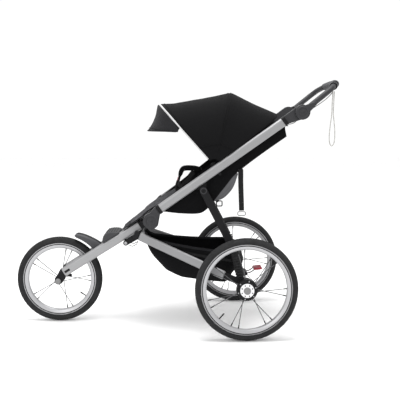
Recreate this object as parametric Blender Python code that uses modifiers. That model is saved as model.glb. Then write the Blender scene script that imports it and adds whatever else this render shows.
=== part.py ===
"""A folding jogging stroller with three wheels.

Lengths are metres. +X is the stroller's left, the front is -Y and +Z is up. Every shape is laid out from a
point on the floor under the front axle, and one empty then moves the whole stroller so that its box is
centred on the world's origin. An outline is a list of (y, z) points in the side view.
"""

from math import asin, cos, pi, radians, sin

import bmesh
import bpy
from mathutils import Matrix, Vector

GAP = 0.0003                        # between pieces that touch
FRONT_AXLE_Y = -0.5550              # where the front axle lies once the box is centred

# Wheels: centre height is the radius.
FRONT_RADIUS = 0.200
REAR_RADIUS = 0.2225
REAR_AXLE_Y = 0.8541
REAR_WHEEL_X = 0.310
FRONT_TYRE_WIDTH = 0.042
REAR_TYRE_WIDTH = 0.045
AXLE_RADIUS = 0.006
SPOKE_END_GAP = 0.0012              # from a spoke's end to the rim's inner face

# Upper frame.
UPPER_X = 0.1875
TUBE_WIDTH = 0.030
UPPER_HEIGHT = 0.039
UPPER_LOW = Vector((0.4697, 0.5487))
UPPER_HIGH = Vector((1.0380, 0.9476))
FOLD_HINGE = Vector((0.4404, 0.5018))
STRUT_HINGE = Vector((0.6723, 0.6366))
CANOPY_HINGE = Vector((0.7196, 0.7462))
HANDLE_HINGE = Vector((1.1104, 0.9830))
SEAT_HINGE = Vector((0.7000, 0.5800))

# Front frame.
LOWER_FRONT = Vector((0.0215, 0.2371))
LOWER_REAR = Vector((0.3860, 0.4640))
LOWER_X_FRONT = 0.047
LOWER_X_REAR = 0.058
LOWER_WIDTH = 0.026
LOWER_HEIGHT = 0.042
STAY_PIVOT = Vector((0.3180, 0.3830))
CATCH_HINGE = Vector((0.3650, 0.3680))

# Rear frame.
REAR_PIVOT = Vector((0.8400, 0.2350))
STAY_START = Vector((0.1011, 0.3820, 0.4184))
STAY_END = Vector((0.2375, 0.7630, 0.2656))
STAY_WIDTH = 0.016
STAY_HEIGHT = 0.038
AXLE_BAR_RADIUS = 0.013
BRAKE_PIN_RADIUS = 0.030            # circle of the brake pins and of the holes they enter
PEDAL_PIVOT = Vector((0.8790, 0.2240))

# Canopy: the line of its crown, from the rear bow to the front bow, seen from the canopy's hinge.
CANOPY_CROWN = [
    Vector((0.2889, 0.2369)), Vector((0.0863, 0.3306)), Vector((-0.0596, 0.3028)),
    Vector((-0.1796, 0.2806)), Vector((-0.2491, 0.2776)),
]
CANOPY_HALF_WIDTH = 0.200
CANOPY_STEP = 0.005
FRONT_BOW_ANGLE = 131.5
VISOR_HINGE = Vector((0.5799, 0.8941))

BLACK = ((0.018, 0.018, 0.020), 0.45, 0.0)
FABRIC = ((0.012, 0.012, 0.013), 0.90, 0.0)
GREY_FABRIC = ((0.10, 0.10, 0.11), 0.95, 0.0)
SILVER = ((0.56, 0.56, 0.57), 0.32, 1.0)
STEEL = ((0.60, 0.60, 0.61), 0.28, 1.0)
RUBBER = ((0.025, 0.025, 0.027), 0.80, 0.0)
FOAM = ((0.14, 0.14, 0.15), 0.95, 0.0)
RED = ((0.45, 0.03, 0.05), 0.40, 0.0)
CORD = ((0.70, 0.69, 0.66), 0.85, 0.0)


# ---------------------------------------------------------------- scene and helpers

def clear_scene():
    for obj in list(bpy.data.objects):
        bpy.data.objects.remove(obj, do_unlink=True)


def new_collection(name):
    collection = bpy.data.collections.new(name)
    bpy.context.scene.collection.children.link(collection)
    return collection


def new_empty(name, x, point, parent=None):
    """An empty on a joint's axis, at side-view point `point`."""
    empty = bpy.data.objects.new(name, None)
    empty.empty_display_size = 0.03
    PARTS.objects.link(empty)
    empty.location = (x, point[0], point[1])
    if parent:
        hang(empty, parent)
    return empty


def hang(obj, parent):
    """Parents obj and keeps its location in the stroller's own coordinates."""
    bpy.context.view_layer.update()
    obj.parent = parent
    obj.matrix_parent_inverse = (ROOT.matrix_world.inverted() @ parent.matrix_world).inverted()


def new_material(name, look):
    colour, roughness, metallic = look
    material = bpy.data.materials.new(name)
    material.use_nodes = True
    shader = material.node_tree.nodes["Principled BSDF"]
    shader.inputs["Base Color"].default_value = (*colour, 1.0)
    shader.inputs["Roughness"].default_value = roughness
    shader.inputs["Metallic"].default_value = metallic
    return material


def finish_part(obj, look, parent, smooth=True):
    """Gives a part its own material, its collection and its parent."""
    for collection in list(obj.users_collection):
        collection.objects.unlink(obj)
    PARTS.objects.link(obj)
    obj.data.materials.clear()
    obj.data.materials.append(new_material(obj.name + "_finish", look))
    if smooth and obj.type == "MESH":
        obj.data.shade_smooth()
        obj.data.set_sharp_from_angle(angle=radians(35))
    hang(obj, parent)
    return obj


def mesh_object(name, mesh):
    obj = bpy.data.objects.new(name, mesh)
    CUTTERS.objects.link(obj)
    return obj


def as_mesh(obj):
    """Replaces obj by the mesh that its curve or modifiers make, with welded caps, in the same place."""
    bpy.context.view_layer.update()
    evaluated = obj.evaluated_get(bpy.context.evaluated_depsgraph_get())
    mesh = bpy.data.meshes.new_from_object(evaluated)
    mesh.transform(obj.matrix_world)
    welded = bmesh.new()
    welded.from_mesh(mesh)
    bmesh.ops.remove_doubles(welded, verts=welded.verts, dist=0.00001)
    bmesh.ops.recalc_face_normals(welded, faces=welded.faces)
    welded.to_mesh(mesh)
    welded.free()
    name = obj.name
    bpy.data.objects.remove(obj, do_unlink=True)
    solid = mesh_object(name, mesh)
    solid.name = name
    return solid


def boolean(obj, other, operation):
    """Joins `other` to obj or cuts it from obj, and removes `other`."""
    modifier = obj.modifiers.new(operation.lower(), "BOOLEAN")
    modifier.operation = operation
    modifier.solver = "EXACT"
    modifier.object = other
    result = as_mesh(obj)
    bpy.data.objects.remove(other, do_unlink=True)
    return result


def join(obj, *others):
    for other in others:
        obj = boolean(obj, other, "UNION")
    return obj


def cut(obj, *others):
    for other in others:
        obj = boolean(obj, other, "DIFFERENCE")
    return obj


def bevel(obj, width, segments=1):
    modifier = obj.modifiers.new("rounded edges", "BEVEL")
    modifier.width = width
    modifier.segments = segments
    modifier.limit_method = "ANGLE"
    modifier.angle_limit = radians(40)
    return as_mesh(obj)


def mirrored(obj, name):
    """A copy of obj on the other side of the centre plane."""
    mesh = obj.data.copy()
    mesh.transform(Matrix.Scale(-1.0, 4, (1, 0, 0)))
    mesh.flip_normals()
    return mesh_object(name, mesh)


# ---------------------------------------------------------------- shapes

def arc(centre, radius, start, end, steps):
    """Points from angle start to end in degrees, counted from +Y towards +Z."""
    angles = (radians(start + (end - start) * i / steps) for i in range(steps + 1))
    return [(centre[0] + radius * cos(a), centre[1] + radius * sin(a)) for a in angles]


def plate(name, outline, x_low, x_high, holes=()):
    """A side-view outline with a thickness across the stroller, as a mesh."""
    curve = bpy.data.curves.new(name, "CURVE")
    curve.dimensions = "2D"
    curve.fill_mode = "BOTH"
    curve.extrude = (x_high - x_low) / 2
    for points in (outline, *holes):
        spline = curve.splines.new("POLY")
        spline.points.add(len(points) - 1)
        for point, (y, z) in zip(spline.points, points):
            point.co = (y, z, 0.0, 1.0)
        spline.use_cyclic_u = True
    obj = bpy.data.objects.new(name, curve)
    CUTTERS.objects.link(obj)
    obj.rotation_euler = (pi / 2, 0.0, pi / 2)
    obj.location = ((x_low + x_high) / 2, 0.0, 0.0)
    return as_mesh(obj)


def beam(name, start, end, width, height, round_edges=0.0, segments=2):
    """A box of the given section between two points, its height in the side view."""
    start, end = Vector(start), Vector(end)
    along = (end - start).normalized()
    up = Vector((1, 0, 0)).cross(along).normalized()
    side = along.cross(up).normalized()
    box = bmesh.new()
    bmesh.ops.create_cube(box, size=1.0)
    bmesh.ops.scale(box, vec=(width, (end - start).length, height), verts=box.verts)
    mesh = bpy.data.meshes.new(name)
    box.to_mesh(mesh)
    box.free()
    turn = Matrix((side, along, up)).transposed().to_4x4()
    mesh.transform(Matrix.Translation((start + end) / 2) @ turn)
    obj = mesh_object(name, mesh)
    return bevel(obj, round_edges, segments) if round_edges else obj


def rod(name, start, end, radius, sides=12, end_radius=None):
    """A round bar or cone between two points."""
    start, end = Vector(start), Vector(end)
    along = end - start
    bar = bmesh.new()
    bmesh.ops.create_cone(
        bar,
        cap_ends=True,
        segments=sides,
        radius1=radius,
        radius2=radius if end_radius is None else end_radius,
        depth=along.length,
    )
    mesh = bpy.data.meshes.new(name)
    bar.to_mesh(mesh)
    bar.free()
    turn = Vector((0, 0, 1)).rotation_difference(along).to_matrix().to_4x4()
    mesh.transform(Matrix.Translation((start + end) / 2) @ turn)
    return mesh_object(name, mesh)


def across(name, point, x_start, x_end, radius, sides=16):
    """A round bar along X at a side-view point."""
    return rod(name, (x_start, *point), (x_end, *point), radius, sides)


def turned(name, profile, x, centre, steps, closed=False):
    """A solid turned about X. The profile holds (radius, offset along X), outer side from high to low X."""
    mesh = bpy.data.meshes.new(name)
    outline = bmesh.new()
    points = [outline.verts.new((radius, 0.0, offset)) for radius, offset in profile]
    for first, second in zip(points, points[1:] + points[:1] if closed else points[1:]):
        outline.edges.new((first, second))
    outline.to_mesh(mesh)
    outline.free()
    obj = mesh_object(name, mesh)
    obj.rotation_euler = (0.0, pi / 2, 0.0)
    obj.location = (x, *centre)
    screw = obj.modifiers.new("turned", "SCREW")
    screw.axis = "Z"
    screw.steps = steps
    screw.render_steps = steps
    screw.use_merge_vertices = True
    screw.merge_threshold = 0.00005
    return as_mesh(obj)


def smooth_route(points, count):
    """`count` points on a smooth curve through `points`."""
    points = [Vector(point) for point in points]
    ends = [2 * points[0] - points[1], *points, 2 * points[-1] - points[-2]]
    route = []
    for i in range(count):
        place = i * (len(points) - 1) / (count - 1)
        k = min(int(place), len(points) - 2)
        t = place - k
        a, b, c, d = ends[k:k + 4]
        curve = (2 * a - 5 * b + 4 * c - d) * t * t + (3 * b - a - 3 * c + d) * t ** 3
        route.append(0.5 * (2 * b + (c - a) * t + curve))
    return route


def wire(name, points, radius, resolution=2, caps=True):
    curve = bpy.data.curves.new(name, "CURVE")
    curve.dimensions = "3D"
    curve.bevel_depth = radius
    curve.bevel_resolution = resolution
    curve.use_fill_caps = caps
    spline = curve.splines.new("POLY")
    spline.points.add(len(points) - 1)
    for point, place in zip(spline.points, points):
        point.co = (*place, 1.0)
    obj = bpy.data.objects.new(name, curve)
    CUTTERS.objects.link(obj)
    return as_mesh(obj)


def thickened(name, mesh, thickness, offset=-1.0):
    obj = mesh_object(name, mesh)
    solidify = obj.modifiers.new("thickness", "SOLIDIFY")
    solidify.thickness = thickness
    solidify.offset = offset
    return as_mesh(obj)


def taper_x(obj, y_start, scale_start, y_end, scale_end):
    """Scales a solid's width along its length."""
    for vertex in obj.data.vertices:
        t = min(1.0, max(0.0, (vertex.co.y - y_start) / (y_end - y_start)))
        vertex.co.x *= scale_start + (scale_end - scale_start) * t
    return obj


def hull_of_arch(name, centre, first, last, radius_at, half_width, from_radius, steps):
    """A thin arched shell between two directions from `centre`: one gore of the canopy or the visor."""
    columns = 14
    arch = bmesh.new()
    rows = []
    for i in range(steps + 1):
        angle = first + (last - first) * i / steps
        reach = radius_at(angle)
        lowest = asin((from_radius / reach) ** 1.5)
        row = []
        for k in range(columns + 1):
            t = lowest + (pi - 2 * lowest) * k / columns
            x = half_width * (abs(cos(t)) ** (2 / 3)) * (1 if cos(t) > 0 else -1)
            out = reach * max(sin(t), 0.0) ** (2 / 3)
            row.append(arch.verts.new((
                x,
                centre[0] + out * cos(radians(angle)),
                centre[1] + out * sin(radians(angle)),
            )))
        rows.append(row)
    for low, high in zip(rows, rows[1:]):
        for k in range(columns):
            arch.faces.new((low[k], low[k + 1], high[k + 1], high[k]))
    mesh = bpy.data.meshes.new(name)
    arch.to_mesh(mesh)
    arch.free()
    return thickened(name, mesh, 0.003)


# ---------------------------------------------------------------- wheels

def tyre_profile(radius, width, seat):
    """Round tread and sidewalls down to the rim's seat."""
    section = width / 2
    middle = radius - section
    lowest = pi / 2 + asin((middle - seat) / section)
    steps = 8
    angles = [lowest - 2 * lowest * i / steps for i in range(steps + 1)]
    return [(middle + section * cos(a), section * sin(a)) for a in angles]


def rim_profile(outer, inner, width):
    return [
        (outer, width / 2),
        (outer, -width / 2),
        (outer - 0.006, -width / 2),
        (inner, -width * 0.28),
        (inner, width * 0.28),
        (outer - 0.006, width / 2),
    ]


def add_spokes(hub, centre, x_rim, x_hub, spacing, hub_radius, rim_radius, pairs, first, crossing):
    """Pairs of spokes from the hub's flanges to the rim, joined to the hub. Angles are degrees from +Y."""
    spread = radians(5.5)
    for pair in range(pairs):
        for side in (-1, 1):
            at_rim = radians(first) + 2 * pi * pair / pairs + side * spread
            at_hub = at_rim - side * radians(crossing)
            start = (
                x_hub + side * spacing,
                centre[0] + hub_radius * cos(at_hub),
                centre[1] + hub_radius * sin(at_hub),
            )
            end = (
                x_rim + side * 0.003,
                centre[0] + rim_radius * cos(at_rim),
                centre[1] + rim_radius * sin(at_rim),
            )
            hub = join(hub, rod("spoke", start, end, 0.0018, sides=6))
    return hub


def make_front_wheel():
    centre = (0.0, FRONT_RADIUS)
    spin = new_empty("front_wheel_axis", 0.0, centre, FRONT_FRAME)
    rim_outer = 0.857 * FRONT_RADIUS
    rim_inner = 0.727 * FRONT_RADIUS
    profile = tyre_profile(FRONT_RADIUS, FRONT_TYRE_WIDTH, rim_outer + GAP)
    tyre = turned("front_tyre", profile, 0.0, centre, 48, closed=True)
    finish_part(tyre, RUBBER, spin)
    rim = turned("front_rim", rim_profile(rim_outer, rim_inner, 0.030), 0.0, centre, 48, closed=True)
    finish_part(rim, SILVER, spin)
    bore = AXLE_RADIUS + GAP
    hub_profile = [
        (0.012, 0.0415), (0.012, 0.033), (0.020, 0.032), (0.020, 0.028), (0.013, 0.026),
        (0.013, -0.026), (0.020, -0.028), (0.020, -0.032), (0.012, -0.033), (0.012, -0.0415),
        (bore, -0.0415), (bore, 0.0415),
    ]
    hub = turned("front_hub", hub_profile, 0.0, centre, 20, closed=True)
    hub = add_spokes(hub, centre, 0.0, 0.0, 0.030, 0.016, rim_inner - SPOKE_END_GAP, 5, 0.5, 24.0)
    finish_part(hub, BLACK, spin)


def make_rear_wheel(side, word):
    centre = (REAR_AXLE_Y, REAR_RADIUS)
    spin = new_empty(f"rear_wheel_{word}_axis", side * REAR_WHEEL_X, centre, REAR_FRAME)
    rim_outer = 0.887 * REAR_RADIUS
    rim_inner = 0.776 * REAR_RADIUS
    tyre = turned(
        f"rear_tyre_{word}",
        tyre_profile(REAR_RADIUS, REAR_TYRE_WIDTH, rim_outer + GAP),
        side * REAR_WHEEL_X, centre, 48, closed=True,
    )
    finish_part(tyre, RUBBER, spin)
    profile = rim_profile(rim_outer, rim_inner, 0.030)
    rim = turned(f"rear_rim_{word}", profile, side * REAR_WHEEL_X, centre, 48, closed=True)
    finish_part(rim, SILVER, spin)

    # The hub, from its outer face inwards: flange ring, drum, barrel, and the ring that the brake pin enters.
    bore = AXLE_RADIUS + GAP
    inboard = 0.2720
    hub_profile = [
        (0.0, 0.3290), (0.0149, 0.3290), (0.0149, 0.3380), (0.0170, 0.3380), (0.028, 0.3370),
        (0.028, 0.3300), (0.046, 0.3260), (0.046, 0.3080), (0.020, 0.3040), (0.016, 0.2960),
        (0.038, 0.2800), (0.038, inboard), (bore, inboard), (bore, 0.3260), (0.0, 0.3260),
    ]
    hub = turned("hub", hub_profile, 0.0, centre, 24)
    for i in range(8):
        angle = 2 * pi * i / 8
        spot = (centre[0] + BRAKE_PIN_RADIUS * cos(angle), centre[1] + BRAKE_PIN_RADIUS * sin(angle))
        hub = cut(hub, across("hole", spot, inboard - 0.002, inboard + 0.006, 0.0038, 8))
    spoke_end = rim_inner - SPOKE_END_GAP
    hub = add_spokes(hub, centre, REAR_WHEEL_X, 0.317, 0.005, 0.040, spoke_end, 7, -4.5, 10.0)
    button = turned(
        "button", [(0.0, 0.3450), (0.0125, 0.3450), (0.0145, 0.3435), (0.0145, 0.3335), (0.0, 0.3335)],
        0.0, centre, 20,
    )
    if side < 0:
        hub = swap_side(hub)
        button = swap_side(button)
    hub.name = f"rear_hub_{word}"
    finish_part(hub, BLACK, spin)
    release = new_empty(f"hub_release_{word}_axis", side * 0.3400, centre, spin)
    button.name = f"hub_release_button_{word}"
    finish_part(button, STEEL, release)


def swap_side(obj):
    """obj, moved to the other side of the centre plane."""
    other = mirrored(obj, obj.name + "_other")
    bpy.data.objects.remove(obj, do_unlink=True)
    return other


# ---------------------------------------------------------------- upper frame

def both_sides(obj, left, right, look, parent):
    """Names obj for the left side, and adds its mirror image for the right."""
    other = mirrored(obj, right)
    obj.name = left
    finish_part(obj, look, parent)
    finish_part(other, look, parent)


def upper_point(along, up=0.0):
    """A side-view point, `along` from the low end of the upper tube's axis and `up` from the axis."""
    direction = (UPPER_HIGH - UPPER_LOW).normalized()
    return UPPER_LOW + along * direction + up * Vector((-direction.y, direction.x))


def make_upper_tubes():
    tube = beam(
        "upper_tube", (UPPER_X, *UPPER_LOW), (UPPER_X, *UPPER_HIGH), TUBE_WIDTH, UPPER_HEIGHT, 0.010, 3
    )
    both_sides(tube, "upper_tube_left", "upper_tube_right", SILVER, ROOT)


def make_hinge_housings():
    half = UPPER_HEIGHT / 2
    top, bottom = upper_point(-0.0004, half), upper_point(-0.0004, -half)
    outline = [top, *arc(FOLD_HINGE, 0.036, 100, 330, 12), bottom]
    housing = bevel(plate("housing", outline, 0.1735, 0.2045), 0.003)
    pin = across("pin", FOLD_HINGE, 0.1500, 0.1800, AXLE_RADIUS)
    both_sides(join(housing, pin), "hinge_housing_left", "hinge_housing_right", BLACK, ROOT)


def make_strut_brackets():
    """A cheek under each upper tube, with the pin that the strut swings on."""
    drop = -UPPER_HEIGHT / 2 - GAP
    foot = (STRUT_HINGE - UPPER_LOW).dot((UPPER_HIGH - UPPER_LOW).normalized())
    outline = [
        upper_point(foot - 0.030, drop), *arc(STRUT_HINGE, 0.014, 165, 345, 8),
        upper_point(foot + 0.034, drop),
    ]
    cheek = plate("cheek", outline, 0.1725, 0.1865)
    pin = across("pin", STRUT_HINGE, 0.1800, 0.2090, AXLE_RADIUS)
    both_sides(join(cheek, pin), "strut_bracket_left", "strut_bracket_right", BLACK, ROOT)


def make_canopy_clamps():
    """A cheek on the tube's inner face that carries the canopy's bow, with a knob under the tube."""
    x_face = UPPER_X - TUBE_WIDTH / 2 - GAP
    knob_place = (CANOPY_HINGE - UPPER_LOW).dot((UPPER_HIGH - UPPER_LOW).normalized())
    under = upper_point(knob_place, -UPPER_HEIGHT / 2 - 0.007)
    outline = [*arc(CANOPY_HINGE, 0.014, 0, 180, 8), *arc(under, 0.0065, 180, 360, 6)]
    cheek = plate("cheek", outline, x_face - 0.005, x_face)
    knob = across("knob", under, x_face - 0.003, UPPER_X + 0.010, 0.0060)
    both_sides(join(cheek, knob), "canopy_clamp_left", "canopy_clamp_right", BLACK, ROOT)


def make_handle_housings():
    half = UPPER_HEIGHT / 2
    end = (UPPER_HIGH - UPPER_LOW).length + 0.0004
    outline = [upper_point(end, -half), *arc(HANDLE_HINGE, 0.034, 260, 490, 14), upper_point(end, half)]
    housing = bevel(plate("housing", outline, 0.1728, 0.1895), 0.003)
    both_sides(housing, "handle_housing_left", "handle_housing_right", BLACK, ROOT)


def make_seat_base():
    outline = [
        (0.4305, 0.5370), (0.4700, 0.5400), (0.4948, 0.5385), (0.5700, 0.5300), (0.6486, 0.5291),
        (0.6850, 0.5500), (0.6900, 0.5640), (0.6700, 0.5740), (0.6200, 0.5850), (0.5750, 0.6050),
        (0.5479, 0.6135), (0.5000, 0.5880), (0.4573, 0.5605), (0.4305, 0.5450),
    ]
    seat = bevel(plate("seat_base", outline, -0.165, 0.165), 0.003)
    taper_x(seat, 0.43, 0.85, 0.52, 1.0)
    finish_part(seat, GREY_FABRIC, ROOT)


def make_seat_back():
    hinge = new_empty("seat_recline_axis", 0.0, SEAT_HINGE, ROOT)
    outline = [
        (0.7000, 0.5600), (0.7185, 0.5844), (0.7700, 0.6500), (0.8228, 0.7111), (0.9300, 0.7930),
        (1.0526, 0.8775), (1.0603, 0.9272), (1.0300, 0.9190), (0.9200, 0.8430), (0.8100, 0.7500),
        (0.7300, 0.6600), (0.6920, 0.6020), (0.6900, 0.5750),
    ]
    back = bevel(plate("seat_back", outline, -0.165, 0.165), 0.003)
    finish_part(back, FABRIC, hinge)

    strap = beam("strap", (0.1680, 0.8395, 0.7180), (0.1680, 0.8450, 0.5360), 0.0016, 0.0220)
    ring = beam("ring", (0.1680, 0.8458, 0.5371), (0.1680, 0.8465, 0.5171), 0.0035, 0.0370, 0.001, 1)
    hole = beam("hole", (0.1680, 0.8460, 0.5331), (0.1680, 0.8463, 0.5211), 0.0100, 0.0290)
    strap = join(strap, cut(ring, hole))
    strap.name = "recline_strap"
    finish_part(strap, FABRIC, hinge)


def make_harness():
    """The shoulder pads and buckle that stand up from the seat."""
    outline = [
        (0.6100, 0.5900), (0.5514, 0.6160), (0.5480, 0.6300), (0.5727, 0.7238), (0.5900, 0.7290),
        (0.6611, 0.7281), (0.6700, 0.7100), (0.6000, 0.7060), (0.5750, 0.6400), (0.6140, 0.6200),
    ]
    harness = bevel(plate("harness", outline, -0.045, 0.045), 0.003)
    facing = Vector((-0.966, 0.259))
    place = Vector((0.5605, 0.6720))
    front = Vector((0.0, *facing))
    middle = Vector((0.0, *place))
    harness = cut(harness, rod("recess", middle - 0.0050 * front, middle + 0.0200 * front, 0.0104, 16))
    harness.name = "harness"
    finish_part(harness, FABRIC, ROOT)
    button = rod("buckle_button", middle - 0.0020 * front, middle + 0.0045 * front, 0.0100, 16)
    finish_part(bevel(button, 0.001), RED, new_empty("buckle_button_axis", 0.0, place, ROOT))


# ---------------------------------------------------------------- canopy

def canopy_radius(angle):
    """How far the crown's line lies from the hinge: the fabric runs straight between its points."""
    ray = Vector((cos(radians(angle)), sin(radians(angle))))
    for first, second in zip(CANOPY_CROWN, CANOPY_CROWN[1:]):
        if second == CANOPY_CROWN[-1] or second.cross(ray) <= 0:
            normal = (second - first).orthogonal()
            return first.dot(normal) / ray.dot(normal)


def visor_radius(angle):
    t = (angle - 157.0) / 24.0
    return 0.1445 + 0.0245 * t * t


def make_canopy():
    rear = hull_of_arch(
        "canopy_rear", CANOPY_HINGE, 42.0, 70.0, canopy_radius, CANOPY_HALF_WIDTH, 0.035, 4
    )
    finish_part(rear, FABRIC, ROOT)
    middle_hinge = new_empty("canopy_middle_axis", 0.0, CANOPY_HINGE, ROOT)
    middle = hull_of_arch(
        "canopy_middle", CANOPY_HINGE, 69.0, 101.0,
        lambda angle: canopy_radius(angle) - CANOPY_STEP, CANOPY_HALF_WIDTH - CANOPY_STEP, 0.035, 4,
    )
    finish_part(middle, FABRIC, middle_hinge)
    front_hinge = new_empty("canopy_front_axis", 0.0, CANOPY_HINGE, ROOT)
    front = hull_of_arch(
        "canopy_front", CANOPY_HINGE, 100.0, 131.6,
        lambda angle: canopy_radius(angle) - 2 * CANOPY_STEP, CANOPY_HALF_WIDTH - 2 * CANOPY_STEP, 0.035, 4,
    )
    finish_part(front, FABRIC, front_hinge)
    make_front_bow(front_hinge)
    make_visor(front_hinge)


def make_front_bow(hinge):
    """The bow stands inside the front gore and swings on the clamps' cheeks."""
    reach = canopy_radius(FRONT_BOW_ANGLE) - 0.026
    half_width = 0.1600
    direction = Vector((0, cos(radians(FRONT_BOW_ANGLE)), sin(radians(FRONT_BOW_ANGLE))))
    points = []
    steps = 24
    for i in range(steps + 1):
        t = pi * i / steps
        x = half_width * abs(cos(t)) ** (2 / 3) * (1 if cos(t) > 0 else -1)
        out = direction * (reach * max(sin(t), 0.0) ** (2 / 3))
        points.append(Vector((x, *CANOPY_HINGE)) + out)
    bow = wire("canopy_bow", points, 0.0045)
    finish_part(bow, STEEL, hinge)


def make_visor(front_hinge):
    inner = hull_of_arch("visor_front", VISOR_HINGE, 136.0, 155.0, visor_radius, 0.178, 0.020, 3)
    finish_part(inner, FABRIC, front_hinge)
    hinge = new_empty("visor_axis", 0.0, VISOR_HINGE, front_hinge)
    outer = hull_of_arch(
        "visor_edge", VISOR_HINGE, 154.0, 178.0,
        lambda angle: visor_radius(angle) - CANOPY_STEP, 0.178 - CANOPY_STEP, 0.020, 3,
    )
    finish_part(outer, FABRIC, hinge)


# ---------------------------------------------------------------- handlebar

def make_handlebar():
    tilt = new_empty("handlebar_axis", 0.0, HANDLE_HINGE, ROOT)
    right = [
        (0.1840, 1.1440, 1.0090), (0.1840, 1.1900, 1.0460), (0.1835, 1.2180, 1.0685),
        (0.1760, 1.2400, 1.0860), (0.1600, 1.2520, 1.0960), (0.1100, 1.2720, 1.1095),
        (0.0600, 1.2870, 1.1165),
    ]
    route = right + [(0.0, 1.2925, 1.1190)] + [(-x, y, z) for x, y, z in reversed(right)]
    bar = wire("handlebar", smooth_route(route, 43), 0.0125, resolution=3)
    for side in (-1, 1):
        outline = [
            *arc(HANDLE_HINGE, 0.033, 70, 366, 18),
            *arc(HANDLE_HINGE + Vector((0.0500, 0.0400)), 0.0125, 309, 399, 4),
        ]
        x_low, x_high = sorted((side * 0.1898, side * 0.2050))
        bar = join(bar, plate("disc", outline, x_low, x_high))
    finish_part(bar, BLACK, tilt)

    grip_route = [point for point in smooth_route(route, 43) if abs(point.x) < 0.108]
    grip = thickened("foam_grip", wire("grip", grip_route, 0.0170, resolution=3, caps=False).data, 0.0040)
    bpy.data.objects.remove(bpy.data.objects["grip"], do_unlink=True)
    finish_part(grip, FOAM, tilt)
    make_hand_brake(tilt)
    make_wrist_strap(tilt)


def make_hand_brake(tilt):
    """A sleeve that turns on the bar, beside the grip."""
    start, end = Vector((0.1560, 1.2540, 1.0974)), Vector((0.1160, 1.2698, 1.1080))
    middle = (start + end) / 2
    along = (end - start).normalized()
    sleeve = rod("sleeve", middle - along * 0.0130, middle + along * 0.0130, 0.0175, 16)
    bore = rod("bore", middle - along * 0.020, middle + along * 0.020, 0.0142, 16)
    sleeve = cut(sleeve, bore)
    sleeve.name = "hand_brake_sleeve"
    hinge = new_empty("hand_brake_axis", middle.x, (middle.y, middle.z), tilt)
    finish_part(sleeve, BLACK, hinge)


WRIST_STRAP_ROUTE = [
    (0.1620, 1.2510, 1.0760), (0.1620, 1.2512, 1.0600), (0.1610, 1.2490, 1.0200),
    (0.1600, 1.2480, 0.9760), (0.1585, 1.2430, 0.9300), (0.1565, 1.2390, 0.8850),
    (0.1555, 1.2400, 0.8500), (0.1550, 1.2470, 0.8340), (0.1550, 1.2550, 0.8350),
    (0.1555, 1.2620, 0.8520), (0.1575, 1.2635, 0.8900), (0.1590, 1.2600, 0.9330),
    (0.1605, 1.2550, 0.9770), (0.1615, 1.2560, 1.0200), (0.1620, 1.2575, 1.0600),
    (0.1620, 1.2580, 1.0760),
]


def make_wrist_strap(tilt):
    strap = wire("wrist_strap_cord", smooth_route(WRIST_STRAP_ROUTE, 46), 0.0022)
    finish_part(strap, CORD, tilt)


# ---------------------------------------------------------------- front frame

def lower_point(along, up=0.0, x=0.0):
    """A point, `along` from the front end of the lower tube's axis and `up` from the axis, at `x`."""
    direction = (LOWER_REAR - LOWER_FRONT).normalized()
    spot = LOWER_FRONT + along * direction + up * Vector((-direction.y, direction.x))
    return Vector((x, spot.x, spot.y))


def make_lower_tubes():
    front, rear = (LOWER_X_FRONT, *LOWER_FRONT), (LOWER_X_REAR, *LOWER_REAR)
    tube = beam("lower_tube", front, rear, LOWER_WIDTH, LOWER_HEIGHT, 0.009, 3)
    both_sides(tube, "lower_tube_left", "lower_tube_right", SILVER, FRONT_FRAME)


def make_yoke():
    """The casting between the twin tubes and the fold hinges, with a lug and pin for the stays."""
    length = (LOWER_REAR - LOWER_FRONT).length
    to_hinge = (FOLD_HINGE - LOWER_FRONT).dot((LOWER_REAR - LOWER_FRONT).normalized())
    start = length + 0.0012
    half = 0.017
    middle = beam("yoke", lower_point(start, 0, 0), lower_point(start + 0.030, 0, 0), 0.180, 2 * half)
    for side in (-1, 1):
        arm = beam(
            "arm",
            lower_point(start + 0.012, 0, side * 0.075),
            lower_point(to_hinge + 0.004, 0, side * 0.160),
            0.026, 2 * half - 0.003,
        )
        eye = across("eye", FOLD_HINGE, side * 0.1480, side * 0.1732, 0.026)
        middle = join(middle, arm, eye)
    lug_outline = [
        tuple(lower_point(start + 0.020, 0))[1:], tuple(lower_point(start - 0.020, -0.010))[1:],
        *arc(STAY_PIVOT, 0.012, 125, 300, 8), tuple(lower_point(start + 0.020, -0.014))[1:],
    ]
    lug = plate("lug", lug_outline, -0.030, 0.030)
    pin = across("pin", STAY_PIVOT, -0.0735, 0.0735, 0.007)
    middle = join(middle, lug, pin)
    for side in (-1, 1):
        middle = cut(middle, across("hole", FOLD_HINGE, side * 0.130, side * 0.185, AXLE_RADIUS + GAP, 16))
    middle.name = "yoke"
    finish_part(middle, BLACK, FRONT_FRAME)


def make_fork_ends():
    centre = Vector((0.0, FRONT_RADIUS))
    half = LOWER_HEIGHT / 2
    outline = [
        tuple(lower_point(-0.0005, half))[1:], *arc(centre, 0.017, 160, 350, 10),
        tuple(lower_point(-0.0005, -half))[1:],
    ]
    hole = arc(centre, AXLE_RADIUS + GAP, 0, 330, 11)
    end = bevel(plate("fork_end", outline, 0.0425, 0.0535, holes=[hole]), 0.002)
    both_sides(end, "fork_end_left", "fork_end_right", BLACK, FRONT_FRAME)


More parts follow.
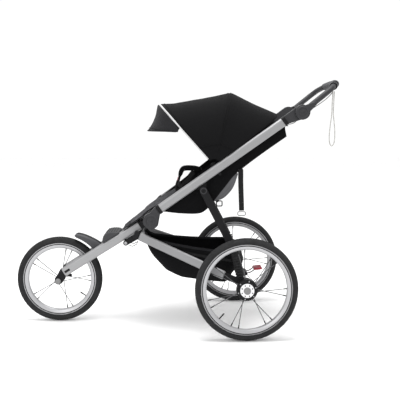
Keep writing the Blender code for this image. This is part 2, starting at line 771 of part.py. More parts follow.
def make_front_axle():
    centre = Vector((0.0, FRONT_RADIUS))
    axle = turned(
        "front_axle",
        [(0.0, 0.0620), (0.0105, 0.0620), (0.0125, 0.0600), (0.0125, 0.0539), (AXLE_RADIUS, 0.0539),
         (AXLE_RADIUS, -0.0545), (0.0, -0.0545)],
        0.0, centre, 16,
    )
    finish_part(axle, STEEL, FRONT_FRAME)
    lever_axis = Vector((-0.0600, 0.0, FRONT_RADIUS))
    hinge = new_empty("quick_release_axis", lever_axis.x, centre, FRONT_FRAME)
    start, end = lever_axis + Vector((0, -0.005, 0)), lever_axis + Vector((0, 0.045, 0))
    lever = beam("quick_release_lever", start, end, 0.007, 0.014, 0.002, 1)
    finish_part(lever, BLACK, hinge)


def make_fender():
    centre = Vector((0.0, FRONT_RADIUS))
    outline = [
        *arc(centre, 0.213, 71, 40, 8), (0.1900, 0.3500), (0.2030, 0.3640), (0.1850, 0.3760),
        (0.1500, 0.3960), (0.1120, 0.4120), (0.0759, 0.4187),
    ]
    fender = bevel(plate("fender", outline, -0.030, 0.030), 0.003)
    finish_part(fender, BLACK, FRONT_FRAME)


def make_footrest():
    top = LOWER_HEIGHT / 2 + GAP
    outline = [
        tuple(lower_point(0.2220, top))[1:], tuple(lower_point(0.3250, top))[1:], (0.2890, 0.4300),
        (0.2720, 0.4330), (0.2480, 0.4335), (0.2280, 0.4295), (0.2150, 0.4190), (0.2085, 0.4060),
        (0.2080, 0.3940),
    ]
    rest = bevel(plate("footrest", outline, -0.075, 0.075), 0.003)
    finish_part(rest, BLACK, FRONT_FRAME)


def make_lower_leg_rest():
    outline = [
        (0.3000, 0.4375), (0.3735, 0.4890), (0.4280, 0.5290), (0.4298, 0.5445), (0.3735, 0.5025),
        (0.3000, 0.4450),
    ]
    rest = bevel(plate("leg_rest_lower", outline, -0.140, 0.140), 0.002)
    taper_x(rest, 0.30, 0.55, 0.43, 1.0)
    finish_part(rest, GREY_FABRIC, FRONT_FRAME)


def make_fold_catch():
    """The wire prongs that hold the folded frame together, on a cross wire under the yoke's lug."""
    hinge = new_empty("fold_catch_axis", 0.0, CATCH_HINGE, FRONT_FRAME)
    prong = [(0.034, -0.0350, -0.0060), (0.034, -0.0180, -0.0100), (0.034, 0.0, 0.0)]
    other = [(-x, y, z) for x, y, z in reversed(prong)]
    route = [Vector((0.0, *CATCH_HINGE)) + Vector(point) for point in prong + other]
    finish_part(wire("fold_catch", route, 0.0018), STEEL, hinge)


# ---------------------------------------------------------------- rear frame

def make_struts():
    top = (0.1990, *STRUT_HINGE)
    low = (0.2095, 0.8111, 0.3675)
    strut = beam("strut", top, low, 0.018, 0.034, 0.005)
    eye = across("eye", STRUT_HINGE, 0.1890, 0.2085, 0.0165)
    strut = join(strut, eye)
    strut = cut(strut, across("hole", STRUT_HINGE, 0.180, 0.220, AXLE_RADIUS + GAP, 16))
    both_sides(strut, "strut_left", "strut_right", BLACK, STRUTS)

    start, end = Vector((0.2098, 0.8133, 0.3632)), Vector((0.2120, 0.8350, 0.2640))
    along = (end - start).normalized()
    ribs = 6
    boot = rod("boot", start, end, 0.0125, 12)
    for i in range(ribs):
        middle = start + (end - start) * ((i + 0.5) / ribs)
        rib = rod("rib", middle - along * 0.004, middle + along * 0.004, 0.0185 - 0.0005 * i, 12)
        boot = join(boot, rib)
    foot = across("foot", REAR_PIVOT, 0.2020, 0.2220, 0.022)
    boot = join(boot, rod("neck", end - along * 0.004, Vector((0.2120, *REAR_PIVOT)), 0.0125, 12), foot)
    boot = cut(boot, across("hole", REAR_PIVOT, 0.190, 0.235, AXLE_BAR_RADIUS + GAP, 16))
    both_sides(boot, "suspension_boot_left", "suspension_boot_right", RUBBER, STRUTS)


def make_stays():
    """The flat tubes from the opened pivot to the rear axle, each with its black fitting at the front."""
    along = (STAY_END - STAY_START).normalized()
    stay = beam("stay", STAY_START, STAY_END, STAY_WIDTH, STAY_HEIGHT, 0.006, 3)
    both_sides(stay, "rear_stay_left", "rear_stay_right", SILVER, REAR_FRAME)

    x_low, x_high = 0.0760, 0.0855
    outline = [*arc(STAY_PIVOT, 0.012, 118, 298, 8), (0.3800, 0.4040), (0.3890, 0.4200), (0.3760, 0.4330)]
    cheek = plate("cheek", outline, x_low, x_high)
    socket = beam("socket", STAY_START - along * 0.0240, STAY_START - along * GAP, 0.020, 0.035)
    bridge_place = STAY_START - along * 0.0120
    bridge = across("bridge", bridge_place.yz, x_low + 0.003, bridge_place.x, 0.012)
    both_sides(join(cheek, bridge, socket), "stay_bracket_left", "stay_bracket_right", BLACK, REAR_FRAME)


def make_axle_bar():
    centre = (REAR_AXLE_Y, REAR_RADIUS)
    bar = across("rear_axle_bar", REAR_PIVOT, -0.2560, 0.2560, AXLE_BAR_RADIUS)
    along = (STAY_END - STAY_START).normalized()
    for side in (-1, 1):
        disc = across("disc", centre, side * 0.2520, side * 0.2640, 0.038, 24)
        stub = across("stub", centre, side * 0.2600, side * 0.3200, AXLE_RADIUS)
        mirror = Vector((side, 1, 1))
        inside_stay = (STAY_END - along * 0.010) * mirror
        fitting = beam("fitting", inside_stay, (side * STAY_END.x, *REAR_PIVOT), 0.014, 0.026)
        past_stay = beam("past_stay", STAY_START * mirror, (STAY_END + along * GAP) * mirror, 0.030, 0.060)
        bar = join(bar, disc, stub, cut(fitting, past_stay))
        outline = [*arc(REAR_PIVOT, 0.0110, 90, 250, 6), *arc(PEDAL_PIVOT, 0.0085, -90, 80, 6)]
        x_low, x_high = sorted((side * 0.0315, side * 0.0355))
        bar = join(bar, plate("cheek", outline, x_low, x_high))
    spot = brake_spot()
    for side in (-1, 1):
        bar = cut(bar, across("hole", spot, side * 0.240, side * 0.275, 0.0035, 8))
    bar.name = "rear_axle_bar"
    finish_part(bar, SILVER, REAR_FRAME)


def brake_spot():
    """Where the brake pins lie: beside a hole of the hubs' ring, at the top."""
    return (REAR_AXLE_Y, REAR_RADIUS + BRAKE_PIN_RADIUS)


def make_brake():
    spot = brake_spot()
    for side, word in ((1, "left"), (-1, "right")):
        pin = across(f"brake_pin_{word}", spot, side * 0.2480, side * 0.2705, 0.0030, 8)
        pin.name = f"brake_pin_{word}"
        finish_part(pin, STEEL, new_empty(f"brake_pin_{word}_axis", side * 0.2600, spot, REAR_FRAME))
    hinge = new_empty("brake_pedal_axis", 0.0, PEDAL_PIVOT, REAR_FRAME)
    pedal = beam("pedal", (0.0, 0.9162, 0.2440), (0.0, 0.9564, 0.2480), 0.070, 0.0100, 0.003, 1)
    for side in (-1, 1):
        bend, tip = (side * 0.022, 0.9000, 0.2280), (side * 0.024, 0.9250, 0.2445)
        pedal = join(pedal, wire("arm", [(side * 0.020, *PEDAL_PIVOT), bend, tip], 0.0030))
    hub = across("hub", PEDAL_PIVOT, -0.030, 0.030, 0.0080)
    pedal = join(pedal, hub)
    pedal.name = "brake_pedal"
    finish_part(pedal, RED, hinge)


def make_basket():
    """An open-topped fabric tub, narrow at the front and full at the rear, with a bar along its rim."""
    outer = [
        (0.4000, 0.4385), (0.3960, 0.4050), (0.4300, 0.3450), (0.4993, 0.2587), (0.5600, 0.2220),
        (0.6350, 0.2125), (0.7200, 0.2050), (0.7850, 0.2030), (0.7980, 0.2100), (0.8120, 0.2430),
        (0.8330, 0.2720), (0.8560, 0.3020), (0.8580, 0.3350), (0.8400, 0.3560), (0.8200, 0.3620),
        (0.7200, 0.3650), (0.6200, 0.3720), (0.5300, 0.3850), (0.4600, 0.4030),
    ]
    inner = [
        (0.4060, 0.4800), (0.4010, 0.4060), (0.4350, 0.3480), (0.5030, 0.2625), (0.5620, 0.2263),
        (0.6355, 0.2168), (0.7200, 0.2092), (0.7820, 0.2074), (0.7940, 0.2130), (0.8080, 0.2455),
        (0.8290, 0.2745), (0.8518, 0.3035), (0.8538, 0.3340), (0.8370, 0.3520), (0.8250, 0.4800),
    ]
    basket = plate("basket", outer, -0.185, 0.185)
    basket = cut(basket, plate("hollow", inner, -0.181, 0.181))
    taper_x(basket, 0.415, 0.370, 0.780, 1.0)
    bar = beam("bar", (0.0, 0.8310, 0.3540), (0.0, 0.8390, 0.3500), 0.352, 0.008)
    basket = join(basket, bar)
    basket.name = "basket"
    finish_part(basket, FABRIC, REAR_FRAME)


# ---------------------------------------------------------------- the stroller

clear_scene()
PARTS = new_collection("jogging_stroller")
CUTTERS = new_collection("cutters")
CUTTERS.hide_render = True
ROOT = new_empty("stroller_origin", 0.0, (0.0, 0.0))
FRONT_FRAME = new_empty("fold_axis", 0.0, FOLD_HINGE, ROOT)
STRUTS = new_empty("strut_axis", 0.0, STRUT_HINGE, ROOT)
REAR_FRAME = new_empty("rear_frame_axis", 0.0, REAR_PIVOT, STRUTS)

make_upper_tubes()
make_hinge_housings()
make_strut_brackets()
make_canopy_clamps()
make_handle_housings()
make_seat_base()
make_seat_back()
make_harness()
make_canopy()
make_handlebar()
make_lower_tubes()
make_yoke()
make_fork_ends()
make_front_axle()
make_fender()
make_footrest()
make_lower_leg_rest()
make_fold_catch()
make_front_wheel()
make_struts()
make_stays()
make_axle_bar()
make_brake()
make_basket()
make_rear_wheel(1, "left")
make_rear_wheel(-1, "right")
ROOT.location.y = FRONT_AXLE_Y
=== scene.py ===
"""The looks of the folding jogging stroller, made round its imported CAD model.

Lengths are metres. Shapes are laid out from the floor under the front axle, and world() moves them to the
frame's own origin. A side-view point is (y, z): y runs backwards and z up.
"""
from math import asin, atan2, copysign, cos, pi, radians, sin, sqrt

import bmesh
import bpy
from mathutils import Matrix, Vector, noise

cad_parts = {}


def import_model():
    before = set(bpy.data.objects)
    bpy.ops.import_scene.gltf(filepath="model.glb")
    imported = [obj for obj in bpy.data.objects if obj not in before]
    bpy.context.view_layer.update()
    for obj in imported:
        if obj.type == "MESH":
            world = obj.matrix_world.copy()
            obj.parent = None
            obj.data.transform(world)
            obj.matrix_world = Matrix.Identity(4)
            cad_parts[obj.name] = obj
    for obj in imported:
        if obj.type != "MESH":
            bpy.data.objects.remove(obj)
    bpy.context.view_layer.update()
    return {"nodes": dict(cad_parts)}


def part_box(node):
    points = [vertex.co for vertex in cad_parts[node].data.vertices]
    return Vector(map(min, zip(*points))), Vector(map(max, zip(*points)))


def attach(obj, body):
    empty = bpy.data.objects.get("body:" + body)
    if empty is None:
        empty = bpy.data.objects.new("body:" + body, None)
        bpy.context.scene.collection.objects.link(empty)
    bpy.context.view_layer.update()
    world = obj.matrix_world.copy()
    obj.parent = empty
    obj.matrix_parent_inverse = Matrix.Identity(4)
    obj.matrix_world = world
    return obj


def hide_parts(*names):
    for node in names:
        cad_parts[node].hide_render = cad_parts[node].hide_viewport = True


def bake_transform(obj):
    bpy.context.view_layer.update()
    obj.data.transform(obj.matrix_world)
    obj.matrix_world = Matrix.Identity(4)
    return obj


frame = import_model()


def middle_of(node):
    low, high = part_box(node)
    return (low + high) / 2


AXLE_Y = middle_of("front_tyre").y
FRONT_RADIUS = middle_of("front_tyre").z
REAR_CENTRE = middle_of("rear_tyre_left") - Vector((0, AXLE_Y, 0))
REAR_RADIUS = REAR_CENTRE.z

FOLD_HINGE = (0.4404, 0.5018)
STRUT_HINGE = (0.6723, 0.6366)
CANOPY_HINGE = (0.7196, 0.7462)
HANDLE_HINGE = (1.1104, 0.983)
VISOR_HINGE = (0.5799, 0.8941)
STAY_PIVOT = (0.318, 0.383)
REAR_PIVOT = (0.84, 0.235)
UPPER_LOW = Vector((0.4697, 0.5487))
UPPER_HIGH = Vector((1.038, 0.9476))
LOWER_FRONT = Vector((0.0215, 0.2371))
LOWER_REAR = Vector((0.386, 0.464))
UPPER_X = 0.1875


def world(point):
    """A point of the stroller's own coordinates, in the frame's."""
    return Vector((point[0], point[1] + AXLE_Y, point[2]))


def unit(value):
    return min(1.0, max(0.0, value))


def bent(value, power):
    """The value's size raised to a power, with its sign kept."""
    return copysign(abs(value) ** power, value)


def read_off(line, place):
    """The height at a place on a line of (place, height) points."""
    for (before, low), (after, high) in zip(line, line[1:]):
        if place <= after:
            return low + (high - low) * max(0.0, place - before) / (after - before)
    return line[-1][1]


def on_circle(centre, radius, angle, x):
    """A point of a circle about the cross axis through centre, set at x."""
    return Vector((x, centre[1] + radius * cos(angle), centre[2] + radius * sin(angle)))


# ---------------------------------------------------------------- materials

class Shader:
    """A Principled material and the few nodes that its colour, roughness and bump need."""

    def __init__(self, name, colour, roughness, metallic=0.0, **sockets):
        self.material = bpy.data.materials.new(name)
        self.material.use_nodes = True
        self.tree = self.material.node_tree
        self.shader = self.tree.nodes["Principled BSDF"]
        self.colour = colour
        self.shader.inputs["Base Color"].default_value = (*colour, 1)
        self.shader.inputs["Roughness"].default_value = roughness
        self.shader.inputs["Metallic"].default_value = metallic
        for socket, value in sockets.items():
            self.shader.inputs[socket.replace("_", " ")].default_value = value
        self.place = self.tree.nodes.new("ShaderNodeTexCoord").outputs["Object"]
        self.height = None

    def node(self, kind, output, sockets, **settings):
        """Adds a node. sockets holds, for each input, its value or the output that is linked to it."""
        node = self.tree.nodes.new("ShaderNode" + kind)
        for name, value in settings.items():
            setattr(node, name, value)
        for name, value in sockets.items():
            if isinstance(value, bpy.types.NodeSocket):
                self.tree.links.new(value, node.inputs[name])
            else:
                node.inputs[name].default_value = value
        return node.outputs[output]

    def stretched(self, scale, turn=0.0):
        sockets = {"Scale": scale, "Rotation": (turn, 0, 0), "Vector": self.place}
        return self.node("Mapping", "Vector", sockets)

    def noise(self, scale, detail=2.0, place=None):
        return self.node("TexNoise", "Fac", {"Scale": scale, "Detail": detail, "Vector": place or self.place})

    def cells(self, scale):
        return self.node("TexVoronoi", "Distance", {"Scale": scale, "Vector": self.place})

    def bands(self, scale, direction, place=None, distortion=0.0):
        sockets = {"Scale": scale, "Distortion": distortion, "Vector": place or self.place}
        return self.node("TexWave", "Fac", sockets, bands_direction=direction)

    def math(self, operation, first, second):
        return self.node("Math", "Value", {0: first, 1: second}, operation=operation)

    def range(self, value, low, high, start=0.3, end=0.7):
        sockets = {"From Min": start, "From Max": end, "To Min": low, "To Max": high, "Value": value}
        return self.node("MapRange", "Result", sockets)

    def tint(self, value, dark, light):
        """Runs the colour from dark to light with value."""
        sockets = {"A": (*dark, 1), "B": (*light, 1), "Factor": value}
        mixed = self.node("Mix", "Result", sockets, data_type="RGBA")
        self.tree.links.new(mixed, self.shader.inputs["Base Color"])

    def shade(self, value, amount):
        self.tint(
            value, [c * (1 - amount) for c in self.colour], [min(1, c * (1 + amount)) for c in self.colour]
        )

    def rough(self, value, low, high):
        self.tree.links.new(self.range(value, low, high), self.shader.inputs["Roughness"])

    def bump(self, height, distance, strength=1.0):
        sockets = {"Distance": distance, "Strength": strength, "Height": height}
        if self.height:
            sockets["Normal"] = self.height
        self.height = self.node("Bump", "Normal", sockets)
        self.tree.links.new(self.height, self.shader.inputs["Normal"])


def woven(name, colour, roughness=0.85, thread=0.0009, fleck=0.0, sheen=0.25):
    """Plain weave: threads across the stroller and threads that run along it."""
    look = Shader(name, colour, roughness, Sheen_Weight=sheen, Sheen_Roughness=0.5, Specular_IOR_Level=0.08)
    wave = 0.314 / thread
    across = look.bands(wave, "X")
    along = look.bands(wave, "Y", look.stretched((1, 0.7, 1), radians(35)))
    weave = look.math("ADD", across, along)
    cloud = look.noise(9.0, 4.0)
    fibre = look.noise(900.0, 1.0)
    if fleck:
        streak = look.noise(1.0, 2.0, look.stretched((260, 90, 90)))
        mixed = look.math(
            "ADD", look.range(streak, 0.0, 0.75, 0.42, 0.66), look.math("MULTIPLY", fibre, 0.25)
        )
        look.tint(mixed, [c * (1 - fleck) for c in colour], [min(1, c * (1 + 2 * fleck)) for c in colour])
    else:
        look.shade(
            look.math("ADD", look.math("MULTIPLY", cloud, 0.7), look.math("MULTIPLY", weave, 0.15)), 0.35
        )
    look.rough(cloud, roughness - 0.06, min(1.0, roughness + 0.06))
    look.bump(weave, 0.00022, 0.7)
    look.bump(fibre, 0.0001, 0.4)
    look.bump(look.noise(28.0, 3.0), 0.0012, 0.35)
    return look.material


def webbing(name, colour):
    look = Shader(name, colour, 0.68, Sheen_Weight=0.04, Specular_IOR_Level=0.2)
    ribs = look.bands(0.314 / 0.0014, "Z", distortion=0.4)
    cross = look.bands(0.314 / 0.0011, "X")
    look.shade(look.math("MULTIPLY", ribs, cross), 0.4)
    look.bump(look.math("ADD", ribs, cross), 0.0003, 0.8)
    look.rough(look.noise(60.0), 0.55, 0.72)
    return look.material


def plastic(name, colour, roughness=0.45, grain=0.00006, gloss=0.3):
    look = Shader(name, colour, roughness, Specular_IOR_Level=gloss)
    cloud = look.noise(18.0, 3.0)
    look.shade(cloud, 0.12)
    look.rough(look.noise(70.0, 4.0), roughness - 0.07, roughness + 0.07)
    look.bump(look.noise(1500.0, 2.0), grain, 0.8)
    look.bump(cloud, 0.0004, 0.15)
    return look.material


def metal(name, colour, roughness=0.34, turn=0.0, metallic=0.85):
    """Satin metal with a grain along the tube, which lies at `turn` in the side view."""
    look = Shader(name, colour, roughness, metallic)
    grain = look.noise(1.0, 3.0, look.stretched((900, 14, 900), -turn))
    cloud = look.noise(14.0, 4.0)
    look.shade(look.math("ADD", look.math("MULTIPLY", grain, 0.5), look.math("MULTIPLY", cloud, 0.5)), 0.09)
    look.rough(look.math("MULTIPLY", look.math("ADD", grain, cloud), 0.5), roughness - 0.06, roughness + 0.08)
    look.bump(grain, 0.00003, 0.6)
    return look.material


def rubber(name, colour, roughness=0.82, dust=0.5):
    look = Shader(name, colour, roughness, Specular_IOR_Level=0.25)
    look.shade(look.noise(30.0, 5.0), dust)
    look.rough(look.noise(90.0, 3.0), roughness - 0.1, min(1.0, roughness + 0.08))
    look.bump(look.noise(1100.0, 2.0), 0.00008, 0.8)
    return look.material


def foam(name, colour):
    look = Shader(name, colour, 0.92, Sheen_Weight=0.1, Specular_IOR_Level=0.2)
    pores = look.cells(900.0)
    look.shade(
        look.math("ADD", look.math("MULTIPLY", pores, 0.5), look.math("MULTIPLY", look.noise(40.0), 0.5)), 0.3
    )
    look.bump(pores, 0.0004, 0.9)
    return look.material


TUBE_TURN = atan2(0.3989, 0.5683)
LOOKS = {
    "tube": metal("anodised_tube", (0.285, 0.285, 0.29), 0.42, TUBE_TURN, 0.6),
    "lower": metal("anodised_lower_tube", (0.3, 0.3, 0.305), 0.42, atan2(0.2269, 0.3645), 0.6),
    "stay": metal("anodised_stay", (0.245, 0.245, 0.25), 0.44, -0.38, 0.6),
    "rim": metal("brushed_rim", (0.42, 0.42, 0.43), 0.34, metallic=0.6),
    # near-black paint for the floor of the rims' groove: painted shade in the recess
    "rim_line": plastic("rim_groove", (0.012, 0.012, 0.013), 0.5, gloss=0.1),
    "steel": metal("bright_steel", (0.4, 0.4, 0.41), 0.28, metallic=1.0),
    "spoke": metal("spoke_steel", (0.085, 0.085, 0.088), 0.36, metallic=0.8),
    "flange": metal("cast_flange", (0.78, 0.78, 0.79), 0.42, metallic=0.1),
    "black": plastic("black_plastic", (0.0075, 0.0075, 0.0082), 0.46, gloss=0.14),
    "housing": plastic("housing_plastic", (0.028, 0.028, 0.0305), 0.46, gloss=0.25),
    "fender": plastic("fender_plastic", (0.046, 0.046, 0.05), 0.46),
    "foot": plastic("footrest_plastic", (0.036, 0.036, 0.039), 0.62, 0.00012),
    "trim": plastic("pale_trim", (0.48, 0.48, 0.48), 0.45),
    "trim_grey": plastic("grey_trim", (0.19, 0.19, 0.19), 0.45),
    "catch": plastic("catch_wire", (0.1, 0.1, 0.1), 0.4),
    "red": plastic("red_plastic", (0.36, 0.026, 0.045), 0.4),
    "tyre": rubber("tyre_rubber", (0.014, 0.014, 0.0146)),
    "boot": rubber("boot_rubber", (0.01, 0.01, 0.0106), 0.66, 0.25),
    "canopy": woven("canopy_cloth", (0.0048, 0.0048, 0.0052), 0.88, sheen=0.03),
    "visor": woven("visor_cloth", (0.0185, 0.0185, 0.02), 0.88, sheen=0.04),
    "black_cloth": woven("black_cloth", (0.004, 0.004, 0.0044), 0.9, sheen=0.02),
    "basket": woven("basket_cloth", (0.0042, 0.0042, 0.0046), 0.9, 0.0013, sheen=0.02),
    "melange": woven("melange_cloth", (0.044, 0.044, 0.048), 0.93, fleck=0.8, sheen=0.05),
    "piping": woven("piping_cloth", (0.015, 0.015, 0.0165), 0.78, 0.0006, sheen=0.05),
    "mesh": woven("mesh_cloth", (0.095, 0.095, 0.1), 0.88, 0.0022, sheen=0.05),
    "strap": webbing("strap_webbing", (0.0075, 0.0075, 0.008)),
    "cord": webbing("cord_braid", (0.58, 0.57, 0.54)),
    "grip": foam("grip_foam", (0.06, 0.06, 0.064)),
}


# ---------------------------------------------------------------- mesh helpers

def new_piece(name, points, faces, look, body=None, slot=None, replaces=(), angle=35, weld=0.0):
    """A mesh piece from points in the stroller's own coordinates."""
    mesh = bpy.data.meshes.new(name)
    mesh.from_pydata([world(point) for point in points], [], faces)
    shape = bmesh.new()
    shape.from_mesh(mesh)
    if weld:
        bmesh.ops.remove_doubles(shape, verts=shape.verts, dist=weld)
    bmesh.ops.recalc_face_normals(shape, faces=shape.faces)
    shape.to_mesh(mesh)
    shape.free()
    obj = bpy.data.objects.new(name, mesh)
    bpy.context.scene.collection.objects.link(obj)
    return dress(obj, look, body, replaces, angle)


def dress(obj, look, body=None, replaces=(), angle=35):
    obj.data.materials.clear()
    obj.data.materials.append(LOOKS[look])
    obj.data.shade_smooth()
    obj.data.set_sharp_from_angle(angle=radians(angle))
    if body:
        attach(obj, body)
    if replaces:
        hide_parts(*replaces)
    return obj


def finished(obj):
    """obj with its modifiers applied."""
    bpy.context.view_layer.update()
    mesh = bpy.data.meshes.new_from_object(obj.evaluated_get(bpy.context.evaluated_depsgraph_get()))
    obj.modifiers.clear()
    obj.data = mesh
    return obj


def subdivided(obj, levels=1):
    modifier = obj.modifiers.new("smooth", "SUBSURF")
    modifier.levels = levels
    modifier.render_levels = levels
    return finished(obj)


def solid(obj, thickness, offset=-1.0):
    modifier = obj.modifiers.new("thickness", "SOLIDIFY")
    modifier.thickness = thickness
    modifier.offset = offset
    return finished(obj)


def bevelled(obj, width, segments=2, angle=40):
    modifier = obj.modifiers.new("edges", "BEVEL")
    modifier.width = width
    modifier.segments = segments
    modifier.limit_method = "ANGLE"
    modifier.angle_limit = radians(angle)
    modifier.harden_normals = False
    return finished(obj)


def lofted(rows, closed=False, caps=False, ring=False):
    """A surface through rows. closed joins each row's ends, and ring joins the last row to the first."""
    count = len(rows[0])
    points = [point for row in rows for point in row]
    faces = []
    pairs = len(rows) if ring else len(rows) - 1
    for i in range(pairs):
        j = (i + 1) % len(rows)
        for k in range(count if closed else count - 1):
            m = (k + 1) % count
            faces.append((i * count + k, i * count + m, j * count + m, j * count + k))
    if caps:
        faces.append(tuple(range(count)))
        faces.append(tuple((len(rows) - 1) * count + k for k in reversed(range(count))))
    return points, faces


def merged(*parts):
    """Several (points, faces) as one."""
    points, faces = [], []
    for more, shapes in parts:
        start = len(points)
        points.extend(more)
        faces.extend(tuple(start + k for k in face) for face in shapes)
    return points, faces


def flipped(part):
    points, faces = part
    return [(-p[0], p[1], p[2]) for p in points], [tuple(reversed(face)) for face in faces]


def smooth_route(points, count):
    """`count` points on a smooth curve through `points`."""
    points = [Vector(point) for point in points]
    ends = [2 * points[0] - points[1], *points, 2 * points[-1] - points[-2]]
    route = []
    for i in range(count):
        place = i * (len(points) - 1) / (count - 1)
        k = min(int(place), len(points) - 2)
        t = place - k
        a, b, c, d = ends[k:k + 4]
        route.append(0.5 * (2 * b + (c - a) * t + (2 * a - 5 * b + 4 * c - d) * t * t
                            + (3 * b - a - 3 * c + d) * t ** 3))
    return route


def swept(route, section, side=None, caps=True):
    """A section of (across, out) points carried along a route. `side` fixes the across direction."""
    route = [Vector(point) for point in route]
    rows = []
    across = None
    for i, point in enumerate(route):
        along = (route[min(i + 1, len(route) - 1)] - route[max(i - 1, 0)]).normalized()
        if side is not None:
            across = Vector(side)
        elif across is None:
            across = along.orthogonal()
        across = (across - along * across.dot(along)).normalized()
        out = along.cross(across)
        shape = section(i / (len(route) - 1)) if callable(section) else section
        rows.append([point + across * a + out * b for a, b in shape])
    return lofted(rows, closed=True, caps=caps)


def circle(radius, sides=14):
    return [(radius * cos(2 * pi * k / sides), radius * sin(2 * pi * k / sides)) for k in range(sides)]


def flat_strap(width, thickness):
    """A webbing's section, with its edges rounded."""
    half, edge, deep = width / 2, thickness * 0.5, thickness / 2
    return [
        (-half, 0), (-half + edge, deep), (-half * 0.4, deep), (half * 0.4, deep), (half - edge, deep),
        (half, 0),
        (half - edge, -deep), (half * 0.4, -deep), (-half * 0.4, -deep), (-half + edge, -deep),
    ]


def wire(points, radius, count, sides=10):
    """A round wire on a smooth curve through points."""
    return swept(smooth_route(points, count), circle(radius, sides))


def round_box(width, height, radius, steps=3):
    """A rectangle with rounded corners, as a section."""
    points = []
    for cx, cy, start in ((1, 1, 0), (-1, 1, 90), (-1, -1, 180), (1, -1, 270)):
        for i in range(steps + 1):
            a = radians(start + 90 * i / steps)
            points.append(
                (cx * (width / 2 - radius) + radius * cos(a), cy * (height / 2 - radius) + radius * sin(a))
            )
    return points


def lathe(profile, centre, axis=(1, 0, 0), steps=48, closed=False):
    """(radius, offset) points turned about an axis through a point."""
    axis = Vector(axis).normalized()
    side = Vector((0, 1, 0)) if abs(axis.x) > 0.9 else axis.orthogonal().normalized()
    up = axis.cross(side)
    centre = Vector(centre)
    rows = []
    for i in range(steps):
        a = 2 * pi * i / steps
        out = side * cos(a) + up * sin(a)
        rows.append([centre + axis * offset + out * radius for radius, offset in profile])
    return lofted(rows, closed=closed, ring=True)


def extruded(outline, x_low, x_high):
    """A side-view outline made solid across the stroller."""
    count = len(outline)
    points = [(x_low, y, z) for y, z in outline] + [(x_high, y, z) for y, z in outline]
    faces = [tuple(range(count)), tuple(reversed(range(count, 2 * count)))]
    faces += [(k, (k + 1) % count, count + (k + 1) % count, count + k) for k in range(count)]
    return points, faces


def arc(centre, radius, start, end, steps):
    angles = (radians(start + (end - start) * i / steps) for i in range(steps + 1))
    return [(centre[0] + radius * cos(a), centre[1] + radius * sin(a)) for a in angles]


def hexagon_bolt(centre, axis, radius, height):
    """A button head with a hex socket, standing on a face."""
    head = [
        (0.0, height * 0.45), (radius * 0.36, height * 0.45), (radius * 0.4, height * 0.97),
        (radius * 0.66, height), (radius * 0.9, height * 0.72), (radius, height * 0.3), (radius, 0.0),
        (0.0, 0.0),
    ]
    return lathe(head, centre, axis, 18)


def rippled(point, size, scale, seed=0.0):
    """A small repeatable displacement of a point."""
    return size * noise.noise(Vector((point[0] * scale + seed, point[1] * scale, point[2] * scale)))


# ---------------------------------------------------------------- camera, light and floor

CAMERA_AZIMUTH = radians(88.28)
CAMERA_ELEVATION = radians(3.355)
CAMERA_DISTANCE = 2.962
CAMERA_LENS = 56.456                # millimetres
SKY_STRENGTH = 1.03
FLOOR_HALF_SIZE = 14.0


def make_camera():
    level = cos(CAMERA_ELEVATION)
    back = Vector((sin(CAMERA_AZIMUTH) * level, -cos(CAMERA_AZIMUTH) * level, sin(CAMERA_ELEVATION)))
    data = bpy.data.cameras.new("camera")
    data.lens = CAMERA_LENS
    data.sensor_width = 36.0
    data.shift_y = -0.1
    camera = bpy.data.objects.new("camera", data)
    camera.location = world((0.0, 0.6629, 0.7608)) + back * CAMERA_DISTANCE
    camera.rotation_mode = "QUATERNION"
    camera.rotation_quaternion = (-back).to_track_quat("-Z", "Y")
    bpy.context.scene.collection.objects.link(camera)
    bpy.context.scene.camera = camera


def make_light(name, place, target, size, power):
    data = bpy.data.lights.new(name, "AREA")
    data.shape = "RECTANGLE"
    data.size, data.size_y = size
    data.energy = power
    light = bpy.data.objects.new(name, data)
    light.location = place
    light.rotation_mode = "QUATERNION"
    light.rotation_quaternion = (Vector(target) - Vector(place)).to_track_quat("-Z", "Y")
    bpy.context.scene.collection.objects.link(light)


def make_studio():
    bpy.context.scene.view_settings.view_transform = "Standard"
    sky = bpy.data.worlds.new("studio")
    sky.use_nodes = True
    sky.node_tree.nodes["Background"].inputs["Color"].default_value = (1.0, 1.0, 1.0, 1)
    sky.node_tree.nodes["Background"].inputs["Strength"].default_value = SKY_STRENGTH
    bpy.context.scene.world = sky
    make_light("overhead", (0.3, 0.0, 3.4), (0.0, 0.0, 0.4), (1.6, 1.6), 88.0)
    make_light("camera_side", (3.4, -1.8, 2.2), (0.0, 0.0, 0.5), (1.6, 2.4), 30.0)
    mesh = bpy.data.meshes.new("floor")
    corners = ((-1, -1), (1, -1), (1, 1), (-1, 1))
    mesh.from_pydata([(x * FLOOR_HALF_SIZE, y * FLOOR_HALF_SIZE, 0) for x, y in corners], [], [(0, 1, 2, 3)])
    floor = bpy.data.objects.new("floor", mesh)
    bpy.context.scene.collection.objects.link(floor)
    look = Shader("floor_paint", (0.97, 0.97, 0.97), 0.85)
    look.rough(look.noise(1.5), 0.7, 0.8)
    mesh.materials.append(look.material)


make_camera()
make_studio()

# ---------------------------------------------------------------- wrist strap

STRAP_CORD_RADIUS = 0.0022
WRIST_STRAP_ROUTE = [
    (0.162, 1.251, 1.076), (0.162, 1.2512, 1.06), (0.161, 1.249, 1.02), (0.16, 1.248, 0.976),
    (0.1585, 1.243, 0.93), (0.1565, 1.239, 0.885), (0.1555, 1.24, 0.85), (0.155, 1.247, 0.834),
    (0.155, 1.255, 0.835), (0.1555, 1.262, 0.852), (0.1575, 1.2635, 0.89), (0.159, 1.26, 0.933),
    (0.1605, 1.255, 0.977), (0.1615, 1.256, 1.02), (0.162, 1.2575, 1.06), (0.162, 1.258, 1.076),
]


